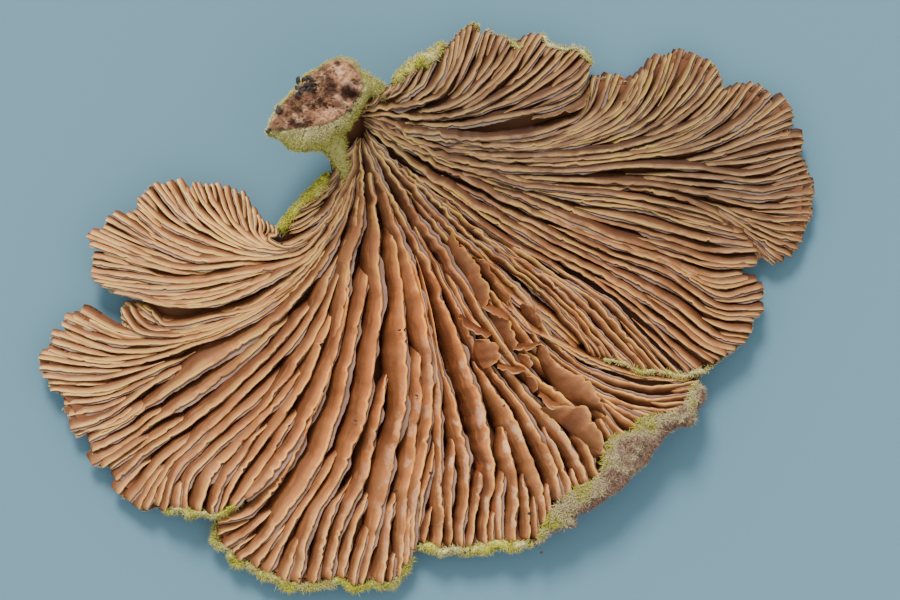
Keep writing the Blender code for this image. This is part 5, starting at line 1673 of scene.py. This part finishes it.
# Bark on the torn face: place, spread in pixels, how many bits and their size in millimetres.
BARK_SPOTS = [
    (309, 87, 7.0, 16, 0.15), (304, 95, 5.0, 10, 0.12), (313, 93, 5.0, 6, 0.10), (280, 112, 3.5, 6, 0.12),
    (271, 134, 2.5, 4, 0.09), (318, 108, 8.0, 6, 0.06), (340, 132, 4.0, 4, 0.06), (352, 116, 3.5, 5, 0.06),
    (357, 106, 3.0, 4, 0.06), (346, 93, 3.0, 4, 0.06), (335, 76, 5.0, 4, 0.05), (300, 122, 8.0, 5, 0.05),
]
SPECK_SPOTS = [
    (417, 395), (431, 472), (396, 490), (525, 478), (529, 512), (272, 509), (282, 244),
    (98, 262), (92, 240), (539, 547), (541, 551), (536, 545), (465, 552), (470, 549), (414, 549),
    (560, 500), (652, 440), (668, 422), (688, 404), (612, 480), (588, 497), (640, 455), (400, 330),
    (356, 420), (446, 370), (504, 405), (210, 300), (245, 560), (300, 578), (352, 580), (205, 508),
]


def add_dirt(build, rng):
    for x, y, spread, count, size in BARK_SPOTS:
        for _ in range(count):
            xy = np.array([[x, y]]) + rng.normal(0, spread * 0.45, (1, 2))
            grain = np.array([crumbs(*xy[0])])
            place = world(xy, np.minimum(torn_height(xy, grain), 5.85))[0]
            add_bit(build, place, size * rng.uniform(0.4, 1.2), rng, (1.9, 0.9, 0.5))
    for x, y in SPECK_SPOTS:
        xy = np.array([[x, y]], float)
        z = back_height(xy) + BODY(xy) + 0.05
        add_bit(build, world(xy, z)[0], rng.uniform(0.04, 0.10), rng, (1.3, 1.0, 0.7))


class Look:
    """A material and the few kinds of nodes that it is built from."""

    def __init__(self, name, roughness=0.5, specular=0.5):
        self.material = bpy.data.materials.new(name)
        self.material.use_nodes = True
        self.tree = self.material.node_tree
        self.shader = self.tree.nodes["Principled BSDF"]
        self.shader.inputs["Roughness"].default_value = roughness
        self.shader.inputs["Specular IOR Level"].default_value = specular

    def node(self, kind, **settings):
        node = self.tree.nodes.new(kind)
        for name, value in settings.items():
            setattr(node, name, value)
        return node

    def feed(self, socket, value):
        """Sets a socket to a number or a colour, or joins another node's output to it."""
        if isinstance(value, (int, float)):
            socket.default_value = value
        elif isinstance(value, tuple):
            socket.default_value = (*value, 1.0)
        else:
            self.tree.links.new(value, socket)

    def value(self, name):
        return self.node("ShaderNodeAttribute", attribute_name=name).outputs["Fac"]

    def math(self, kind, a, b):
        node = self.node("ShaderNodeMath", operation=kind)
        self.feed(node.inputs[0], a)
        self.feed(node.inputs[1], b)
        return node.outputs[0]

    def times(self, a, b):
        return self.math("MULTIPLY", a, b)

    def ramp(self, value, low, high, out_low=0.0, out_high=1.0):
        node = self.node("ShaderNodeMapRange", interpolation_type="SMOOTHSTEP")
        names = ("Value", "From Min", "From Max", "To Min", "To Max")
        for name, number in zip(names, (value, low, high, out_low, out_high)):
            self.feed(node.inputs[name], number)
        return node.outputs["Result"]

    def mix(self, factor, a, b, kind="MIX"):
        node = self.node("ShaderNodeMix", data_type="RGBA", blend_type=kind)
        for k, value in ((0, factor), (6, a), (7, b)):
            self.feed(node.inputs[k], value)
        return node.outputs[2]

    def noise(self, scale, detail=4.0, rough=0.55, vector=None, stretch=None):
        source = vector or self.node("ShaderNodeTexCoord").outputs["Object"]
        if stretch:
            mapping = self.node("ShaderNodeMapping")
            mapping.inputs["Scale"].default_value = stretch
            self.feed(mapping.inputs["Vector"], source)
            source = mapping.outputs["Vector"]
        node = self.node("ShaderNodeTexNoise")
        for name, value in (("Scale", scale), ("Detail", detail), ("Roughness", rough), ("Vector", source)):
            self.feed(node.inputs[name], value)
        return node.outputs["Fac"]

    def bump(self, height, strength, distance):
        node = self.node("ShaderNodeBump")
        for name, value in (("Strength", strength), ("Distance", distance), ("Height", height)):
            self.feed(node.inputs[name], value)
        self.feed(self.shader.inputs["Normal"], node.outputs["Normal"])

    def done(self, colour):
        self.feed(self.shader.inputs["Base Color"], colour)
        return self.material


def gill_colours(look, flow):
    """Stained and streaked faces, with painted shade in the valleys and painted light near the free edge."""
    crest, warm, pale = [look.value(name) for name in ("crest", "warm", "pale")]
    stains = look.noise(1.0, 3.0, 0.5, flow, (0.45, 0.9, 1.0))
    streaks = look.noise(1.0, 5.0, 0.6, flow, (0.75, 4.2, 1.0))
    each = look.math("FRACT", look.times(look.value("ident"), 0.6180339), 0.0)
    face = look.mix(warm, (0.085, 0.043, 0.019), (0.19, 0.060, 0.016))
    face = look.mix(pale, face, (0.36, 0.16, 0.060))
    bright = look.mix(warm, (0.130, 0.074, 0.035), (0.45, 0.120, 0.025))
    bright = look.mix(pale, bright, (0.80, 0.37, 0.115))
    darker = look.mix(1.0, face, (0.50, 0.42, 0.38), "MULTIPLY")
    face = look.mix(look.ramp(each, 0.35, 1.0, 0.0, 0.7), face, darker)
    face = look.mix(look.ramp(stains, 0.44, 0.64, 0.0, 0.7), face, darker)
    face = look.mix(look.ramp(streaks, 0.50, 0.72, 0.0, 0.4), face, bright)
    # Painted shade: each face darkens from its free edge down to its foot in the valley between gills.
    painted_valley_shade = look.mix(1.0, face, (0.48, 0.36, 0.30), "MULTIPLY")
    face = look.mix(look.ramp(crest, 0.12, 0.78, 1.0, 0.0), face, painted_valley_shade)
    return face, bright, stains, streaks


def gill_material():
    """Faces with painted light near the pale free edges, and the lilac-grey other half of each split edge.
    """
    look = Look("gill_plates", specular=0.22)
    crest, warm, pale = [look.value(name) for name in ("crest", "warm", "pale")]
    bloom = look.value("bloom")
    place = look.node("ShaderNodeCombineXYZ")
    look.feed(place.inputs["X"], look.value("run"))
    look.feed(place.inputs["Y"], look.times(crest, 1.4))
    look.feed(place.inputs["Z"], look.times(look.value("ident"), 3.7))
    flow = place.outputs["Vector"]
    face, bright, stains, streaks = gill_colours(look, flow)
    tints = look.noise(1.0, 3.0, 0.5, flow, (0.8, 0.3, 5.3))
    mottle = look.noise(650.0, 5.0, 0.65)
    # Painted light: faces turn brighter toward their free edges.
    lit = look.times(look.ramp(crest, 0.66, 0.95), look.ramp(tints, 0.30, 0.60, 0.45, 0.95))
    face = look.mix(lit, face, bright)

    dusty = look.times(bloom, look.ramp(mottle, 0.48, 0.60))
    dusty = look.times(dusty, look.ramp(crest, 0.62, 0.90))
    face = look.mix(look.times(dusty, 0.75), face, (0.78, 0.50, 0.30))
    rust = look.times(bloom, look.ramp(mottle, 0.56, 0.66))
    face = look.mix(look.times(rust, 0.7), face, (0.30, 0.07, 0.02))
    yellow = look.times(look.value("algae"), look.ramp(tints, 0.46, 0.60))
    yellow = look.times(yellow, look.ramp(crest, 0.60, 0.95))
    face = look.mix(look.times(yellow, 0.9), face, (0.30, 0.20, 0.035))

    edge = look.mix(warm, (0.25, 0.150, 0.075), (0.72, 0.28, 0.045))
    edge = look.mix(pale, edge, (1.0, 0.70, 0.26))
    edge = look.mix(look.times(yellow, 0.8), edge, (0.46, 0.32, 0.06))
    lip = look.times(look.ramp(crest, 0.92, 0.99), look.ramp(tints, 0.36, 0.56, 0.15, 1.0))
    face = look.mix(lip, face, edge)
    # The lilac-grey is partly the split edge's own tone and partly painted shade on the undersides it
    # covers.
    lilac = look.mix(warm, (0.150, 0.108, 0.088), (0.22, 0.135, 0.100))
    lilac = look.mix(pale, lilac, (0.42, 0.26, 0.19))
    lilac = look.mix(look.ramp(stains, 0.48, 0.62, 0.0, 0.55), lilac, (0.10, 0.055, 0.036))
    look.feed(look.shader.inputs["Roughness"], look.ramp(mottle, 0.35, 0.7, 0.50, 0.75))
    grain = look.noise(5200.0, 3.0, 0.6)
    look.bump(look.math("ADD", streaks, look.times(grain, 0.6)), 0.6, 0.00007)
    return look.done(look.mix(look.ramp(look.value("under"), 0.1, 0.9, 0.0, 0.9), face, lilac))


def flesh_material():
    look = Look("cap_flesh", 0.85, 0.2)
    mottle = look.noise(700.0, 5.0, 0.6)
    zone = look.noise(180.0, 3.0, 0.5)
    inner = look.mix(look.ramp(look.value("crest"), 0.0, 0.8), (0.16, 0.06, 0.025), (0.22, 0.12, 0.05))
    outer = look.mix(zone, (0.28, 0.19, 0.135), (0.46, 0.37, 0.27))
    outer = look.mix(look.ramp(mottle, 0.45, 0.65, 0.0, 0.5), outer, (0.25, 0.22, 0.10))
    look.bump(mottle, 0.6, 0.0001)
    return look.done(look.mix(look.value("back"), inner, outer))


def felt_material():
    """Wool and algae-green felt: tint runs from brown over cream to yellow-green."""
    look = Look("felt", 0.9, 0.15)
    tint = look.value("tint")
    mottle = look.noise(1500.0, 3.0, 0.6)
    cream = look.mix(mottle, (0.42, 0.33, 0.19), (0.80, 0.70, 0.42))
    green = look.mix(mottle, (0.30, 0.30, 0.03), (0.64, 0.59, 0.06))
    colour = look.mix(tint, cream, green)
    colour = look.mix(look.ramp(tint, -0.45, -0.05, 1.0, 0.0), colour, (0.30, 0.165, 0.115))
    # Darker toward each hair's root; on the pads this is painted shade low on their sides.
    root = look.mix(tint, (0.16, 0.11, 0.07), (0.10, 0.10, 0.025))
    colour = look.mix(look.ramp(look.value("up"), 0.0, 0.7, 0.25, 1.0), root, colour)
    # Painted shade: a low shade value darkens hairs deep in the felt, low on the pads and the stub, and
    # under the lobes.
    shaded = look.mix(0.6, colour, (0.08, 0.08, 0.03))
    return look.done(look.mix(look.value("shade"), shaded, colour))


def stub_material():
    look = Look("torn_stub", 0.85, 0.2)
    mottle = look.noise(1500.0, 6.0, 0.7)
    broad = look.noise(420.0, 4.0, 0.6)
    fibres = look.noise(2600.0, 5.0, 0.65, None, (1.0, 2.2, 1.0))
    flesh = look.mix(look.ramp(broad, 0.38, 0.60), (0.15, 0.070, 0.036), (0.38, 0.185, 0.095))
    flesh = look.mix(look.ramp(mottle, 0.50, 0.64, 0.0, 0.75), flesh, (0.58, 0.36, 0.22))
    # Painted shade in the low crumbs and the cavity of the torn face.
    flesh = look.mix(look.ramp(look.value("pit"), 0.45, 0.95, 0.0, 0.9), flesh, (0.060, 0.026, 0.016))
    flesh = look.mix(look.ramp(fibres, 0.58, 0.70, 0.0, 0.85), flesh, (0.035, 0.018, 0.013))
    woolly = look.mix(mottle, (0.26, 0.235, 0.07), (0.46, 0.42, 0.15))
    look.bump(look.math("ADD", mottle, look.times(fibres, 0.7)), 0.8, 0.00012)
    return look.done(look.mix(look.value("wool"), flesh, woolly))


def dirt_material():
    look = Look("bark_dirt", 0.7)
    mottle = look.noise(3000.0, 4.0, 0.6)
    look.bump(mottle, 0.7, 0.00008)
    return look.done(look.mix(look.ramp(mottle, 0.4, 0.7), (0.012, 0.009, 0.008), (0.07, 0.045, 0.03)))


def floor_material():
    look = Look("pale_floor", 0.9)
    cloud = look.noise(12.0, 2.0, 0.4)
    return look.done(look.mix(cloud, (0.098, 0.196, 0.248), (0.106, 0.212, 0.268)))


def make_cap(lobes):
    """The flesh with the rolled rim's body. Returns the rim's wool, to be made with the felt."""
    flesh = Build("crest", "back")
    add_underlay(flesh)
    for lobe in lobes:
        add_flesh(flesh, lobe)
    wool = Build("up", "tint", "shade")
    add_rim(flesh, wool, lobes, np.random.default_rng(31))
    flesh.make("cap_flesh", flesh_material())
    return wool


def make_gills(lobes):
    material = gill_material()
    for n, lobe in enumerate(lobes):
        build = Build("crest", "under", "run", "ident")
        add_gills(build, lobe, n + 1)
        paint(build.make(f"gills_{lobe.name}", material, 75.0))
    loose = Build("crest", "under", "run", "ident")
    add_loose_gills(loose, np.random.default_rng(77))
    add_flaps(loose, np.random.default_rng(78))
    paint(loose.make("loose_gills", material, 75.0))


def make_felt(lobes, rim_wool, felt):
    named = {lobe.name: lobe for lobe in lobes}
    rim_wool.make("rim_wool", felt)
    pads = Build("up", "tint", "shade")
    rng = np.random.default_rng(6)
    for name, *rest in MARGIN_PADS:
        add_pad(pads, named[name], *rest, rng)
    pads.make("margin_pads", felt)
    margin = Build("up", "tint", "shade")
    rng = np.random.default_rng(5)
    for name, *rest in MARGIN_FELT:
        add_felt_band(margin, named[name], *rest, rng)
    margin.make("margin_felt", felt)
    under = Build("up", "tint", "shade")
    rng = np.random.default_rng(9)
    for lobe in lobes:
        add_back_felt(under, lobe, rng, BACK_HAIRS_OF.get(lobe.name, BACK_HAIRS))
    under.make("back_felt", felt)


def make_stub(felt):
    stub = Build("wool", "pit")
    wool = Build("up", "tint", "shade")
    rng = np.random.default_rng(12)
    add_stub(stub, wool, rng)
    add_tube(stub, wool, NECK, rng, 1600, 0.85)
    add_tube(stub, wool, FLANK, rng, 1300, 0.75)
    stub.make("torn_stub", stub_material())
    wool.make("stub_wool", felt)


def paint(piece):
    """Region values for the gill material, from the few spots chosen in the plan."""
    mesh = piece.data
    flat = np.empty(len(mesh.vertices) * 3, dtype=np.float32)
    mesh.vertices.foreach_get("co", flat)
    co = flat.reshape(-1, 3) * 1000.0
    x = co[:, 0] / PIXEL_MM + (PIXEL_LEFT + PIXEL_RIGHT) / 2.0
    y = (PIXEL_TOP + PIXEL_BOTTOM) / 2.0 - co[:, 1] / PIXEL_MM
    xy = np.stack([x, y], axis=1)
    for name, plate in (("warm", WARM), ("pale", PALE), ("algae", ALGAE), ("bloom", BLOOM)):
        parts = [plate(part) for part in np.array_split(xy, max(1, len(xy) // 20000))]
        layer = mesh.attributes.new(name, "FLOAT", "POINT")
        layer.data.foreach_set("value", np.clip(np.concatenate(parts), 0, 1).astype(np.float32))


def make_object():
    lobes = make_lobes()
    rim_wool = make_cap(lobes)
    make_gills(lobes)
    felt = felt_material()
    make_felt(lobes, rim_wool, felt)
    make_stub(felt)
    dirt = Build()
    add_dirt(dirt, np.random.default_rng(17))
    dirt.make("bark_dirt", dirt_material(), 20.0)


def make_floor():
    size = 0.6
    corners = [(-size, -size, 0), (size, -size, 0), (size, size, 0), (-size, size, 0)]
    mesh = bpy.data.meshes.new("floor")
    mesh.from_pydata(corners, [], [[0, 1, 2, 3]])
    mesh.materials.append(floor_material())
    floor = bpy.data.objects.new("floor", mesh)
    bpy.context.scene.collection.objects.link(floor)


def make_light():
    sun = bpy.data.lights.new("key", "SUN")
    sun.energy = 4.7
    sun.angle = math.radians(18.0)
    sun.color = (1.0, 0.97, 0.93)
    key = bpy.data.objects.new("key", sun)
    key.rotation_euler = Vector((0.12, -0.72, -0.68)).to_track_quat("-Z", "Y").to_euler()
    bpy.context.scene.collection.objects.link(key)
    world_light = bpy.data.worlds.new("studio")
    bpy.context.scene.world = world_light
    world_light.use_nodes = True
    back = world_light.node_tree.nodes["Background"]
    back.inputs["Color"].default_value = (0.92, 0.96, 1.0, 1.0)
    back.inputs["Strength"].default_value = 1.25


def make_camera():
    camera = bpy.data.cameras.new("camera")
    camera.sensor_width = 36.0
    camera.lens = 200.0
    camera.clip_start = 0.005
    camera.clip_end = 5.0
    width = PICTURE_WIDTH * PIXEL_MM / 1000.0
    aim = world(np.array([PICTURE_CENTRE]), 0.8)[0]
    holder = bpy.data.objects.new("camera", camera)
    holder.location = (aim[0], aim[1], aim[2] + width * camera.lens / camera.sensor_width)
    bpy.context.scene.collection.objects.link(holder)
    bpy.context.scene.camera = holder


make_object()
make_floor()
make_light()
make_camera()
